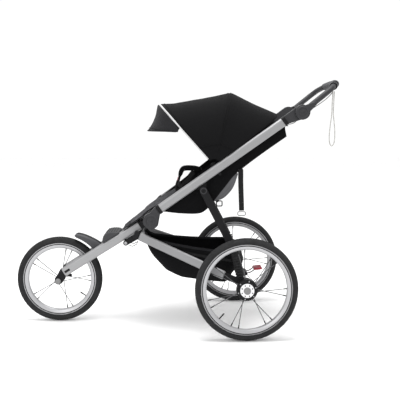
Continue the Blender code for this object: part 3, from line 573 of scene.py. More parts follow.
def make_wrist_strap():
    route = smooth_route(WRIST_STRAP_ROUTE, 91)
    loop = swept(route, circle(STRAP_CORD_RADIUS, 10))
    cord = new_piece("wrist_strap", *loop, "cord", "handlebar", "cord", ["wrist_strap_cord"])


make_wrist_strap()

# ---------------------------------------------------------------- wheels

RIM_HALF_WIDTH = 0.015
GROOVE_START, GROOVE_END = 0.0046, 0.0088     # of the groove in a rim's wall, in from its outer edge; its floor is painted near-black as painted shade
SPOKE_RADIUS = 0.0017
NIPPLE_LENGTH = 0.015


def tyre(name, centre, radius, width, seat, body, node):
    """A round tyre with a ribbed tread and moulded lines on its sidewalls."""
    section = width / 2
    middle = radius - section
    lowest = pi / 2 + asin((middle - seat) / section)
    around, across = 288, 28
    rows = []
    for i in range(around):
        turn = 2 * pi * i / around
        row = []
        for k in range(across + 1):
            a = lowest - 2 * lowest * k / across
            side = abs(a)
            depth = 0.0
            if side < 0.95:
                block = (i + round(side * 6)) % 6 < 2
                depth = 0.0012 if (block and side > 0.18) or 0.14 < side < 0.24 else 0.0
            elif 1.2 < side < 1.3 or 1.75 < side < 1.83:
                depth = 0.0006
            reach = section - depth
            out = middle + reach * cos(a)
            row.append(on_circle(centre, out, turn, centre[0] + reach * sin(a)))
        rows.append(row)
    new_piece(name, *lofted(rows, closed=True, ring=True), "tyre", body, "tyre_rubber", [node], 50)


def rim(name, centre, outer, inner, body, node):
    """A box-section rim: bright edge ring, a groove beside it whose floor is painted near-black as painted
    shade, and a wide sloping wall.
    """
    half = RIM_HALF_WIDTH
    wall = [
        (outer, half), (outer - 0.0012, half + 0.0006), (outer - GROOVE_START, half + 0.0006),
        (outer - 0.005, half - 0.001), (outer - 0.0084, half - 0.001), (outer - GROOVE_END, half),
        (outer - 0.011, half - 0.0006), (inner + 0.005, half * 0.72), (inner + 0.001, half * 0.5),
        (inner, half * 0.34),
    ]
    profile = wall + [(r, -x) for r, x in reversed(wall)]
    obj = new_piece(
        name, *lathe(profile, centre, steps=144, closed=True), "rim", body, "rim_alloy", [node], 30
    )
    # The groove's floor gets the near-black material: painted shade in the recess.
    obj.data.materials.append(LOOKS["rim_line"])
    for face in obj.data.polygons:
        place = face.center - world(centre)
        reach = sqrt(place.y ** 2 + place.z ** 2)
        if outer - GROOVE_END < reach < outer - GROOVE_START and abs(place.x) > half * 0.8:
            face.material_index = 1


def spokes(name, centre, x_hub, spacing, hub_radius, rim_radius, pairs, first, crossing, body):
    """Thin steel spokes in crossed pairs, with a nipple at each rim end."""
    wires, nipples = [], []
    for pair in range(pairs):
        for side in (-1, 1):
            at_rim = radians(first + 5.5 * side) + 2 * pi * pair / pairs
            at_hub = at_rim - side * radians(crossing)
            start = on_circle(centre, hub_radius, at_hub, x_hub + side * spacing)
            end = on_circle(centre, rim_radius, at_rim, centre[0] + side * 0.003)
            along = (end - start).normalized()
            wires.append(swept([start, (start + end) / 2, end], circle(SPOKE_RADIUS, 8)))
            root = end - along * NIPPLE_LENGTH
            nipples.append(swept(
                [root, root + along * 0.002, end - along * 0.003, end],
                lambda t: circle(0.0016 + 0.0009 * min(1.0, 3 * t), 8),
            ))
    new_piece(name + "_spokes", *merged(*wires), "spoke", body, "bright_metal")
    new_piece(name + "_nipples", *merged(*nipples), "black", body, "hub_dark")


def valve(name, centre, inner, angle, body):
    out = Vector((0.0, cos(radians(angle)), sin(radians(angle))))
    start = Vector(centre) + out * inner
    stem = swept([start - out * 0.024, start - out * 0.01, start + out * 0.001], circle(0.0028, 10))
    cap_route = [start - out * 0.031, start - out * 0.0295, start - out * 0.018]
    cap = swept(cap_route, lambda t: circle(0.0022 + 0.0014 * t, 10))
    new_piece(name, *merged(stem, cap), "black", body, "hub_dark")


def make_front_wheel():
    centre = (0.0, 0.0, FRONT_RADIUS)
    outer, inner = 0.857 * FRONT_RADIUS, 0.727 * FRONT_RADIUS
    tyre("front_tyre_tread", centre, FRONT_RADIUS, 0.042, outer + 0.0003, "front_wheel", "front_tyre")
    rim("front_rim_walls", centre, outer, inner, "front_wheel", "front_rim")
    profile = [
        (0.0063, 0.0415), (0.0105, 0.0415), (0.0115, 0.0405), (0.0115, 0.0345), (0.019, 0.033),
        (0.0205, 0.0318), (0.0205, 0.0284), (0.019, 0.0272), (0.0125, 0.024), (0.0105, 0.016), (0.01, 0.0),
    ]
    profile += [(r, -x) for r, x in reversed(profile[:-1])]
    hub = lathe(profile, centre, steps=40, closed=True)
    new_piece("front_hub_body", *hub, "black", "front_wheel", "hub_dark", ["front_hub"], 30)
    spokes("front_wheel", centre, 0.0, 0.03, 0.0185, inner - 0.0004, 5, 0.5, 24.0, "front_wheel")
    valve("front_valve", centre, inner, -35.0, "front_wheel")


FLANGE_STEPS = 120
FLANGE_DENTS = 12                   # shallow scallops round the flange ring
FLANGE_HOLE = [(0.0, 0.0012), (0.0022, 0.0012), (0.0028, 0.0006), (0.0028, -0.001), (0.0, -0.001)]


def make_rear_wheel(side, word):
    body = f"rear_wheel_{word}"
    centre = (side * REAR_CENTRE.x, REAR_CENTRE.y, REAR_CENTRE.z)
    outer, inner = 0.887 * REAR_RADIUS, 0.776 * REAR_RADIUS
    tyre(f"rear_tyre_{word}_tread", centre, REAR_RADIUS, 0.045, outer + 0.0003, body, f"rear_tyre_{word}")
    rim(f"rear_rim_{word}_walls", centre, outer, inner, body, f"rear_rim_{word}")
    drum = [
        (0.0, 0.3286), (0.028, 0.3286), (0.03, 0.3292), (0.0335, 0.328), (0.0395, 0.3278), (0.0425, 0.3268),
        (0.0455, 0.3258), (0.046, 0.324), (0.046, 0.31), (0.0445, 0.3082), (0.026, 0.305), (0.0185, 0.301),
        (0.0165, 0.295), (0.024, 0.288), (0.037, 0.2806), (0.038, 0.279), (0.038, 0.2725), (0.037, 0.272),
        (0.034, 0.272), (0.034, 0.2788), (0.026, 0.2788), (0.026, 0.272), (0.0, 0.272),
    ]
    middle = (0.0, *centre[1:])
    drum_piece = lathe([(r, side * x) for r, x in drum], middle, steps=56)
    new_piece(f"rear_drum_{word}", *drum_piece, "black", body, "hub_dark", [f"rear_hub_{word}"], 30, 0.00001)
    ring_rows = []
    for i in range(FLANGE_STEPS):
        a = 2 * pi * i / FLANGE_STEPS
        dent = 0.0016 * max(0.0, cos(a * FLANGE_DENTS)) ** 2
        shape = [(0.0152, 0.329), (0.0152, 0.3378), (0.0172, 0.3384), (0.0195, 0.338),
                 (0.0225, 0.3374 - dent),
                 (0.0255, 0.3374 - dent), (0.0285, 0.3372), (0.0298, 0.336), (0.0298, 0.329)]
        ring_rows.append([on_circle(centre, r, a, side * x) for r, x in shape])
    flange = lofted(ring_rows, closed=True, ring=True)
    new_piece(f"rear_flange_{word}", *flange, "flange", body, "bright_metal", angle=30)
    marks = []
    for i in range(8):
        a = 2 * pi * (i + 0.5) / 8
        spot = on_circle(centre, 0.024, a, side * 0.3368)
        marks.append(lathe(FLANGE_HOLE, spot, (side, 0, 0), 12))
    new_piece(f"rear_flange_holes_{word}", *merged(*marks), "black", body, "hub_dark", weld=0.00001)
    bolts = []
    for i in range(6):
        a = 2 * pi * i / 6 + 0.3
        spot = on_circle(centre, 0.0385, a, side * 0.3276)
        bolts.append(hexagon_bolt(spot, (side, 0, 0), 0.003, 0.002))
    new_piece(f"rear_drum_bolts_{word}", *merged(*bolts), "steel", body, "bright_metal", weld=0.00001)
    spokes(f"rear_wheel_{word}", centre, side * 0.317, 0.005, 0.0455, inner - 0.0004, 7, -4.5, 10.0, body)
    valve(f"rear_valve_{word}", centre, inner, -133.0, body)
    cap = [
        (0.0, 0.345), (0.004, 0.345), (0.0048, 0.3444), (0.0085, 0.3446), (0.0118, 0.3452), (0.0138, 0.3446),
        (0.0145, 0.3432), (0.0145, 0.334), (0.0, 0.334),
    ]
    cap_piece = lathe([(r, side * x) for r, x in cap], middle, steps=40)
    new_piece(f"hub_cap_{word}", *cap_piece, "trim_grey", f"release_{word}", "bright_metal",
              [f"hub_release_button_{word}"], 30, 0.00001)


make_front_wheel()
make_rear_wheel(1, "left")
make_rear_wheel(-1, "right")

# ---------------------------------------------------------------- CAD nodes that keep their shape

PAIRS = {
    "tube": ["upper_tube"],
    "lower": ["lower_tube"],
    "stay": ["rear_stay"],
    "housing": ["hinge_housing", "handle_housing"],
    "black": ["strut_bracket", "canopy_clamp", "fork_end", "stay_bracket", "strut"],
    "steel": ["brake_pin"],
}
SINGLES = {
    "black": ["yoke", "rear_axle_bar", "quick_release_lever", "hand_brake_sleeve"],
    "steel": ["front_axle"],
    "catch": ["fold_catch"],
    "red": ["brake_pedal", "buckle_button"],
}


def paint_kept_nodes():
    painted = [(look, f"{name}_{word}") for look,
               names in PAIRS.items() for name in names for word in ("left", "right")]
    painted += [(look, name) for look, names in SINGLES.items() for name in names]
    for look, name in painted:
        materials = frame["nodes"][name].data.materials
        materials.clear()
        materials.append(LOOKS[look])


paint_kept_nodes()

# ---------------------------------------------------------------- frame details

def tube_point(start, end, along, up=0.0):
    """A side-view point, `along` a tube's axis from its start and `up` from the axis."""
    direction = (end - start).normalized()
    return start + along * direction + up * Vector((-direction.y, direction.x))


def both(name, part, look, body, slot, angle=35, weld=0.00001):
    new_piece(name + "_left", *part, look, body, slot, angle=angle, weld=weld)
    new_piece(name + "_right", *flipped(part), look, body, slot, angle=angle, weld=weld)


def make_hinge_caps():
    """Round covers with a raised ring and a bolt on the fold hinges and the handle's hinges."""
    for name, place, x, radius, body in (
        ("hinge_cap", FOLD_HINGE, 0.2043, 0.03, "upper_frame"),
        ("handle_cap", HANDLE_HINGE, 0.2048, 0.027, "handlebar"),
    ):
        profile = [
            (0.0, 0.0012), (radius * 0.55, 0.0014), (radius * 0.62, 0.0006), (radius * 0.68, 0.0006),
            (radius * 0.74, 0.0024), (radius * 0.92, 0.0026), (radius, 0.001), (radius, -0.0006),
            (0.0, -0.0006),
        ]
        both(name, lathe(profile, (x, *place), steps=56), "housing", body, "dark_plastic", 30)
        bolt = hexagon_bolt((x + 0.0012, *place), (1, 0, 0), 0.007, 0.0026)
        both(name + "_bolt", bolt, "housing", body, "dark_plastic", 30)
    bolt = hexagon_bolt((0.2084, *STRUT_HINGE), (1, 0, 0), 0.0105, 0.004)
    both("strut_bolt", bolt, "black", "struts", "dark_plastic", 30)
    washer = [(0.0105, 0.2084), (0.015, 0.2084), (0.015, 0.2098), (0.0105, 0.2098)]
    washer = lathe(washer, (0.0, *STRUT_HINGE), steps=36, closed=True)
    both("strut_washer", washer, "housing", "struts", "dark_plastic", 30)
    bolt = hexagon_bolt((0.0855, *STAY_PIVOT), (1, 0, 0), 0.0075, 0.0034)
    both("stay_bolt", bolt, "steel", "rear_frame", "bright_metal", 30)


def make_axle_caps():
    cap = [
        (0.0, 0.0645), (0.006, 0.0645), (0.0072, 0.0638), (0.0112, 0.0634), (0.0128, 0.0622), (0.0128, 0.056),
        (0.0, 0.056),
    ]
    new_piece("front_axle_cap", *lathe(cap, (0.0, 0.0, FRONT_RADIUS), steps=36), "trim_grey", "front_frame",
              "bright_metal", weld=0.00001)


def make_tube_ends():
    """Black collars at the ends of the tubes, and a slot in the front end of each lower tube."""
    lower, upper = (LOWER_FRONT, LOWER_REAR), (UPPER_LOW, UPPER_HIGH)
    length = (LOWER_REAR - LOWER_FRONT).length
    for name, start, end, x_start, x_end, size, body, tube in (
        ("lower_collar", length - 0.005, length - 0.001, 0.0578, 0.058, (0.027, 0.043), "front_frame", lower),
        ("fork_collar", 0.001, 0.006, 0.047, 0.0472, (0.0275, 0.0435), "front_frame", lower),
        ("upper_low_collar", 0.0005, 0.016, UPPER_X, UPPER_X, (0.0325, 0.0415), "upper_frame", upper),
        ("upper_high_collar", 0.678, 0.6935, UPPER_X, UPPER_X, (0.0325, 0.0415), "upper_frame", upper),
    ):
        route = [(x_start, *tube_point(*tube, start)), (x_end, *tube_point(*tube, end))]
        collar = swept(route, round_box(*size, 0.0085), side=(1, 0, 0))
        both(name, collar, "black", body, "dark_plastic", 30)
    route = [(0.0604, *tube_point(*lower, 0.012, -0.001)), (0.0608, *tube_point(*lower, 0.04, -0.001))]
    slot = swept(route, round_box(0.0012, 0.011, 0.0005), side=(1, 0, 0))
    both("tube_slot", slot, "black", "front_frame", "dark_plastic")


make_hinge_caps()
make_axle_caps()
make_tube_ends()


def make_boots():
    """Ribbed rubber bellows round each suspension spring, and the eye on the axle."""
    start, end = Vector((0.2098, 0.8122, 0.3655)), Vector((0.212, 0.835, 0.256))
    steps, ribs = 96, 9
    route = [start + (end - start) * (i / steps) for i in range(steps + 1)]

    def section(t):
        rib = 0.5 + 0.5 * cos(2 * pi * ribs * t)
        thick, wide = 0.0136 + 0.0026 * rib, 0.0186 - 0.002 * t + 0.0028 * rib
        return [(thick * a, wide * b) for a, b in circle(1.0, 28)]

    eye = [(0.0136, -0.01), (0.0205, -0.01), (0.0218, -0.0085)]
    eye += [(r, -x) for r, x in reversed(eye)]
    foot = lathe(eye, (0.212, *REAR_PIVOT), steps=40, closed=True)
    neck = swept([end, Vector((0.212, 0.837, 0.248))], circle(0.012, 20))
    part = merged(swept(route, section, side=(1, 0, 0)), foot, neck)
    for word, half in (("left", part), ("right", flipped(part))):
        node = f"suspension_boot_{word}"
        new_piece(f"bellows_{word}", *half, "boot", "struts", "boot_rubber", [node], 60)


def make_fender():
    """A thin arched guard over the front tyre, drawn back to a foot on the footrest."""
    centre = (0.0, FRONT_RADIUS)
    crown = [(38.9, 0.2609), (43.6, 0.2554), (52.5, 0.2467), (62.1, 0.2398), (70.9, 0.2315)]
    first, last, low = 39.6, 70.6, 0.2145
    rows = []
    for i in range(29):
        angle = first + (last - first) * i / 28
        out = Vector((0, cos(radians(angle)), sin(radians(angle))))
        reach = read_off(crown, angle) - 0.001
        edge = min(1.0, (last - angle) / 4.0 + 0.35)
        row = []
        for k in range(17):
            t = pi * k / 16
            x = 0.0292 * bent(cos(t), 0.5)
            height = low + (reach - low) * edge * (sin(t) ** 0.55) + (1 - edge) * (reach - low) * 0.45
            row.append(Vector((x, *centre)) + out * height)
        rows.append(row)
    guard = new_piece("fender_guard", *lofted(rows), "fender")
    dress(subdivided(solid(guard, 0.0028), 1), "fender", "front_frame", ["fender"], 40)
    edge_route = [row[8] + Vector((0, 0, 0.0004)) for row in rows[1:-1]]
    spine = swept(edge_route, round_box(0.022, 0.0022, 0.001), side=(1, 0, 0))
    new_piece("fender_spine", *spine, "black", "front_frame", "dark_plastic", angle=40)
    link = [(0.018, 0.196, 0.356), (0.018, 0.204, 0.366), (0.018, 0.211, 0.378), (0.018, 0.214, 0.39)]
    both("fender_link", wire(link, 0.0026, 14), "black", "front_frame", "dark_plastic")


def make_footrest():
    """A rounded rest with a ribbed grip on its upper face."""
    outline = [
        (0.202, 0.374), (0.245, 0.4), (0.287, 0.4258), (0.288, 0.4296), (0.272, 0.4324), (0.248, 0.4328),
        (0.2285, 0.429), (0.2155, 0.4188), (0.2088, 0.4058), (0.2078, 0.3935),
    ]
    half = [(0.0745, 0.62), (0.074, 0.9), (0.069, 0.99), (0.035, 1.0)]
    middle_y, middle_z = 0.244, 0.407
    rows = []
    for x, scale in [(-x, scale) for x, scale in half] + [(0.0, 1.0)] + half[::-1]:
        rows.append(
            [(x, middle_y + (y - middle_y) * scale, middle_z + (z - middle_z) * scale) for y, z in outline]
        )
    rest = new_piece("footrest_body", *lofted(rows, closed=True, caps=True), "foot")
    dress(subdivided(rest, 2), "foot", "front_frame", ["footrest"], 60)
    ribs = []
    for y, z in ((0.229, 0.4288), (0.24, 0.4312), (0.251, 0.4324), (0.262, 0.4322), (0.273, 0.4314)):
        ribs.append(swept([(-0.058, y, z), (0.0, y, z + 0.0004), (0.058, y, z)], circle(0.0017, 8)))
    new_piece("footrest_grip", *merged(*ribs), "boot", "front_frame", "dark_plastic")


make_boots()
make_fender()
make_footrest()

# ---------------------------------------------------------------- soft goods

MOST_HALF_DEPTH = 0.03             # of a cushion, where its sides close
PAD_SHIFT = 0.0025                  # of a pad's outline, before it swells
PAD_VOXEL = 0.006
CLOTH_STEPS = 20
PIPING_RADIUS = 0.0021


def half_depth(outline, k):
    """The way into an outline from one of its points, and half of how far it is to the other side."""
    count = len(outline)
    here = Vector(outline[k])
    before, after = Vector(outline[k - 1]), Vector(outline[(k + 1) % count])
    inward = (after - before).orthogonal().normalized()
    if signed_area(outline) < 0:
        inward = -inward
    nearest = MOST_HALF_DEPTH * 2
    for m in range(count):
        if m in (k, (k - 1) % count):
            continue
        start, side = Vector(outline[m]), Vector(outline[(m + 1) % count]) - Vector(outline[m])
        cross = inward.cross(side)
        if abs(cross) < 1e-9:
            continue
        reach, share = (start - here).cross(side) / cross, (start - here).cross(inward) / cross
        if reach > 1e-5 and 0 <= share <= 1:
            nearest = min(nearest, reach)
    return inward, nearest / 2


def signed_area(outline):
    return sum(a[0] * b[1] - b[0] * a[1] for a, b in zip(outline, outline[1:] + outline[:1])) / 2


def cushion_rows(outline, half_width, flat=0.62, stations=15, squeeze=0.55):
    """A closed crowned form: the outline carried across, thinning towards both sides."""
    depths = [half_depth(outline, k) for k in range(len(outline))]
    rows = []
    for i in range(stations):
        u = -1 + 2 * i / (stations - 1)
        thinner = squeeze * max(0.0, (abs(u) - flat) / (1 - flat)) ** 2.4
        row = []
        for (y, z), (inward, depth) in zip(outline, depths):
            row.append((u * half_width, y + inward.x * depth * thinner, z + inward.y * depth * thinner))
        rows.append(row)
    return rows


def shifted(outline, amount):
    """The outline with each point moved to the left of its own direction by `amount`."""
    drawn = []
    count = len(outline)
    for k, (y, z) in enumerate(outline):
        before, after = outline[k - 1], outline[(k + 1) % count]
        dy, dz = after[0] - before[0], after[1] - before[1]
        length = sqrt(dy * dy + dz * dz) or 1.0
        drawn.append((y - dz / length * amount, z + dy / length * amount))
    return drawn


def swollen(obj, voxel, cap, pressure=4.0):
    """Remeshes a pad and lets cloth under pressure fill it, no point moving further than `cap`."""
    remesh = obj.modifiers.new("remesh", "REMESH")
    remesh.mode = "VOXEL"
    remesh.voxel_size = voxel
    finished(obj)
    rest = [vertex.co.copy() for vertex in obj.data.vertices]
    cloth = obj.modifiers.new("cloth", "CLOTH")
    cloth.settings.use_pressure = True
    cloth.settings.uniform_pressure_force = pressure
    cloth.settings.effector_weights.gravity = 0.0
    cloth.settings.quality = 4
    cloth.point_cache.frame_start = 1
    cloth.point_cache.frame_end = CLOTH_STEPS
    scene = bpy.context.scene
    for step in range(1, CLOTH_STEPS + 1):
        scene.frame_set(step)
    evaluated = obj.evaluated_get(bpy.context.evaluated_depsgraph_get())
    moved = [vertex.co.copy() for vertex in evaluated.data.vertices]
    obj.modifiers.clear()
    for vertex, start, end in zip(obj.data.vertices, rest, moved):
        shift = end - start
        if shift.length > cap:
            shift = shift * (cap / shift.length)
        vertex.co = start + shift
    scene.frame_set(1)
    relax = obj.modifiers.new("relax", "SMOOTH")
    relax.factor = 0.5
    relax.iterations = 4
    finished(obj)
    return subdivided(obj, 1)


def cloth_sheet(name, rows, look, thickness, offset, replaces=()):
    """A sheet of cloth through rows of points, given a thickness."""
    skin = new_piece(name, *lofted(rows), look)
    dress(solid(skin, thickness, offset), look, replaces=replaces)
    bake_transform(skin)


def pad(name, outline, half_width, look, replaces, body, cap=0.006, squeeze=0.55, taper=None):
    """A swollen cushion. taper is (y, width) twice: the shares of its width between which it widens."""
    rows = cushion_rows(shifted(outline, PAD_SHIFT), half_width, squeeze=squeeze)
    if taper:
        y_low, s_low, y_high, s_high = taper
        rows = [
            [(x * (s_low + (s_high - s_low) * unit((y - y_low) / (y_high - y_low))), y, z) for x, y, z in row]
            for row in rows
        ]
    obj = new_piece(name, *lofted(rows, closed=True, caps=True), look)
    swollen(obj, PAD_VOXEL, cap)
    dress(obj, look, body, replaces, 60)
    return obj


SEAT_TOP = [
    (0.434, 0.543), (0.46, 0.559), (0.502, 0.5858), (0.5479, 0.6105), (0.575, 0.6035), (0.62, 0.584),
    (0.668, 0.5728), (0.686, 0.565), (0.672, 0.5545), (0.62, 0.556), (0.57, 0.56), (0.53, 0.56),
    (0.49, 0.552), (0.45, 0.544),
]
SEAT_UNDER = [
    (0.433, 0.5385), (0.47, 0.5415), (0.4948, 0.54), (0.57, 0.5315), (0.6486, 0.5306), (0.684, 0.5515),
    (0.67, 0.553), (0.62, 0.554), (0.57, 0.558), (0.53, 0.558), (0.49, 0.55), (0.45, 0.5425),
]
SEAT_BACK = [
    (0.701, 0.564), (0.7185, 0.5864), (0.77, 0.6515), (0.8228, 0.7126), (0.93, 0.7945), (1.05, 0.8785),
    (1.058, 0.924), (1.03, 0.917), (0.92, 0.8415), (0.81, 0.7485), (0.73, 0.6585), (0.693, 0.601),
    (0.6915, 0.577),
]


def make_seat():
    taper = (0.43, 0.85, 0.52, 1.0)
    pad("seat_cushion", SEAT_TOP, 0.16, "melange", ["seat_base"], "upper_frame", taper=taper)
    pad("seat_underside", SEAT_UNDER, 0.161, "black_cloth", [], "upper_frame", cap=0.004,
        taper=taper, squeeze=0.35)
    pad("seat_back_pad", SEAT_BACK, 0.16, "black_cloth", ["seat_back"], "seat_back",
        cap=0.008,
        squeeze=0.45)
    edge = [
        (0.436, 0.547), (0.46, 0.5615), (0.502, 0.588), (0.5479, 0.612), (0.575, 0.6045), (0.62, 0.585),
        (0.668, 0.574),
    ]
    route = []
    for y, z in edge:
        scale = 0.85 + 0.15 * unit((y - 0.43) / 0.09)
        route.append((0.15 * scale, y, z - 0.003))
    both("seat_piping", wire(route, PIPING_RADIUS, 60), "piping", "upper_frame", "seat_fabric")
    back_edge = [(0.152, y, z) for y, z in (
        (0.6905, 0.59), (0.696, 0.606), (0.733, 0.661), (0.812, 0.749), (0.921, 0.841), (1.029, 0.915),
        (1.054, 0.923))]
    both("seat_back_piping", wire(back_edge, PIPING_RADIUS, 90), "piping", "seat_back", "black_fabric")
    seams = []
    for place in (0.3, 0.55, 0.78):
        y, z = Vector((0.733, 0.661)).lerp(Vector((1.029, 0.915)), place)
        route = [(-0.13, y, z - 0.001), (-0.05, y, z + 0.0035), (0.05, y, z + 0.0035), (0.13, y, z - 0.001)]
        seams.append(swept(route, flat_strap(0.005, 0.0016), side=(0, 0.76, 0.65)))
    new_piece("seat_back_seams", *merged(*seams), "piping", "seat_back", "black_fabric")
    inner = smooth_route([(0, 0.708, 0.596), (0, 0.744, 0.639), (0, 0.779, 0.683), (0, 0.819, 0.719)], 25)
    outer = smooth_route([(0, 0.723, 0.585), (0, 0.7651, 0.6), (0, 0.8056, 0.645), (0, 0.8281, 0.708)], 25)
    mesh_rows = []
    for near, far in zip(inner, outer):
        row = []
        for k in range(9):
            point = near.lerp(far, k / 8)
            row.append((0.164 - 0.006 * (k / 8) ** 2, point.y, point.z))
        mesh_rows.append(row)
    for side, word in ((1, "left"), (-1, "right")):
        rows = [[(side * x, y, z) for x, y, z in row] for row in mesh_rows]
        band = new_piece(f"seat_side_mesh_{word}", *lofted(rows), "mesh")
        dress(solid(band, 0.0014, 1.0 if side > 0 else -1.0), "mesh", "seat_back")


PANEL_LOW = [
    (0.4948, 0.54), (0.57, 0.5315), (0.6486, 0.5305), (0.685, 0.547), (0.7185, 0.5858), (0.77, 0.6515),
    (0.8228, 0.7126), (0.93, 0.7945), (1.045, 0.875),
]
PANEL_HIGH = [
    (0.456, 0.556), (0.51, 0.599), (0.552, 0.632), (0.6, 0.67), (0.656, 0.712), (0.72, 0.76), (0.82, 0.82),
    (0.93, 0.889), (1.03, 0.95),
]


def make_side_panels():
    """The seat's cloth sides, from the cushion up past the upper tube."""
    low, high = (smooth_route([(0, *p) for p in line], 65) for line in (PANEL_LOW, PANEL_HIGH))
    for side, word in ((1, "left"), (-1, "right")):
        rows = []
        for k in range(65):
            row = []
            for i in range(17):
                point = low[k].lerp(high[k], i / 16)
                slack = sin(pi * i / 16) ** 0.7
                point.x = side * (0.1668 - 0.0016 * slack + rippled(point, 0.0011, 24.0, 9.0) * slack)
                row.append(point)
            rows.append(row)
        cloth_sheet(
            f"seat_side_{word}", rows, "black_cloth", 0.0014, 0.0,
        )


def leg_half(y):
    """Half the width of the leg rest, which narrows towards the footrest."""
    return 0.136 * (0.57 + 0.43 * unit((y - 0.3) / 0.13))


def make_joining_cloths():
    """Thin strips of cloth between the pads, over the fold hinge and over the recline hinge."""
    knee = [(0.398, 0.521), (0.415, 0.5345), (0.434, 0.548), (0.452, 0.56), (0.47, 0.5705)]
    seat = [(0.63, 0.585), (0.66, 0.579), (0.683, 0.585), (0.692, 0.604), (0.715, 0.64)]
    for name, line, first, last, look, slot, bodies, start, end in (
        ("knee_cloth", knee, 0.12, 0.142, "melange", "seat_fabric", ("front_frame", "upper_frame"),
         (0, 0.42, 0.538), (0, 0.456, 0.562)),
        ("seat_join", seat, 0.156, 0.156, "black_cloth", "black_fabric", ("upper_frame", "seat_back"),
         (0, 0.665, 0.578), (0, 0.692, 0.604)),
    ):
        route = smooth_route([(0, *p) for p in line], 25)
        rows = []
        for k, place in enumerate(route):
            half = first + (last - first) * k / 24
            rows.append([(half * (-1 + 2 * i / 24), place.y, place.z) for i in range(25)])
        cloth_sheet(name, rows, look, 0.0014, 0.0)


def make_leg_rest():
    """The padded strip from over the footrest up to the fold hinge, with ribs sewn across its lower end."""
    low = [
        (0.301, 0.4395), (0.336, 0.464), (0.374, 0.4905), (0.427, 0.53), (0.4288, 0.543), (0.3735, 0.501),
        (0.335, 0.472), (0.301, 0.4445),
    ]
    rows = []
    for i in range(25):
        u = -1 + 2 * i / 24
        thinner = 0.6 * max(0.0, (abs(u) - 0.8) / 0.2) ** 2
        row = []
        for y, z in low:
            middle = 0.442 + (y - 0.301) * 0.755
            row.append((u * leg_half(y), y, middle + (z - middle) * (1 - thinner)))
        rows.append(row)
    obj = new_piece("leg_rest", *lofted(rows, closed=True, caps=True), "melange")
    dress(subdivided(obj, 2), "melange", "front_frame", ["leg_rest_lower"], 60)
    ribs = []
    for i in range(9):
        t = i / 8
        y, z = Vector((0.306, 0.4475)).lerp(Vector((0.342, 0.4765)), t)
        half = 0.94 * leg_half(y)
        route = [(-half, y, z), (0.0, y, z + 0.0012), (half, y, z)]
        ribs.append(swept(route, flat_strap(0.003, 0.0022), side=(0, 0.78, 0.62)))
    new_piece("leg_rest_ribs", *merged(*ribs), "piping", "front_frame", "seat_fabric")
    edge = []
    for y, z in ((0.302, 0.4425), (0.336, 0.4685), (0.374, 0.4965), (0.42, 0.531)):
        edge.append((0.98 * leg_half(y), y, z))
    both("leg_rest_piping", wire(edge, 0.002, 40), "piping", "front_frame", "seat_fabric")


make_seat()
make_side_panels()
make_joining_cloths()
make_leg_rest()

# ---------------------------------------------------------------- harness and straps

def make_harness():
    """Shoulder pads, webbing and a round buckle, standing up from the seat."""
    straps, pads = [], []
    for side in (-1, 1):
        route = [
            (side * 0.03, 0.67, 0.719), (side * 0.029, 0.63, 0.7225), (side * 0.027, 0.596, 0.723),
            (side * 0.025, 0.58, 0.7165), (side * 0.02, 0.57, 0.696), (side * 0.014, 0.5625, 0.67),
        ]
        straps.append(swept(smooth_route(route, 50), flat_strap(0.024, 0.0026), side=(1, 0, 0)))
        pad_route = smooth_route(route, 40)

        def section(t):
            close = min(1.0, 6 * t, 6 * (1 - t))
            return round_box(0.029 * (0.8 + 0.2 * close), 0.008 + 0.012 * close ** 0.5, 0.0034)

        pads.append(swept([p + Vector((0, 0, 0.0005)) for p in pad_route[1:-4]], section, side=(1, 0, 0)))
        waist = [(side * 0.014, 0.561, 0.664), (side * 0.028, 0.564, 0.648), (side * 0.037, 0.585, 0.63),
                 (side * 0.04, 0.608, 0.615)]
        straps.append(swept(smooth_route(waist, 40), flat_strap(0.02, 0.0024), side=(0.15 * side, 0.4, 0.86)))
        brace = [(side * 0.036, 0.58, 0.642), (side * 0.039, 0.606, 0.672), (side * 0.04, 0.633, 0.706)]
        straps.append(
            swept(smooth_route(brace, 30), flat_strap(0.02, 0.0024), side=(0.1 * side, 0.76, -0.64))
        )
    crotch = [(0.0, 0.5585, 0.662), (0.0, 0.552, 0.64), (0.0, 0.5525, 0.622), (0.0, 0.562, 0.611)]
    straps.append(swept(smooth_route(crotch, 30), round_box(0.036, 0.013, 0.004), side=(1, 0, 0)))
    new_piece("harness_webbing", *merged(*straps), "strap", "upper_frame", "harness_webbing", ["harness"], 60)
    shoulder = new_piece(
        "harness_pads", *merged(*pads), "black_cloth", "upper_frame", "black_fabric", angle=60
    )
    facing = Vector((0.0, -0.966, 0.259))
    middle = Vector((0.0, 0.5605, 0.672))
    shell = [
        (0.0, -0.0085), (0.017, -0.0085), (0.0205, -0.006), (0.0215, -0.0025), (0.0205, 0.0006),
        (0.0175, 0.002), (0.0112, 0.0022), (0.0106, 0.0014), (0.0106, -0.0052), (0.0, -0.0052),
    ]
    new_piece(
        "buckle", *lathe(shell, middle, facing, 40), "black", "upper_frame", "dark_plastic", weld=0.00001
    )


def make_tether_ring():
    """The small square ring on the seat's side, behind the strut."""
    loop = [(0.14, 0.746 + y, 0.572 + z) for y, z in round_box(0.025, 0.023, 0.005, 4)]
    new_piece(
        "tether_ring", *swept(loop + loop[:1], circle(0.0026, 10)), "black", "seat_back", "dark_plastic"
    )
    tab = [(0.14, 0.73, 0.598), (0.14, 0.735, 0.588), (0.14, 0.74, 0.579)]
    tab = swept(smooth_route(tab, 10), flat_strap(0.015, 0.003), side=(0, 0.8, 0.6))
    new_piece("tether_tab", *tab, "strap", "seat_back", "black_fabric")


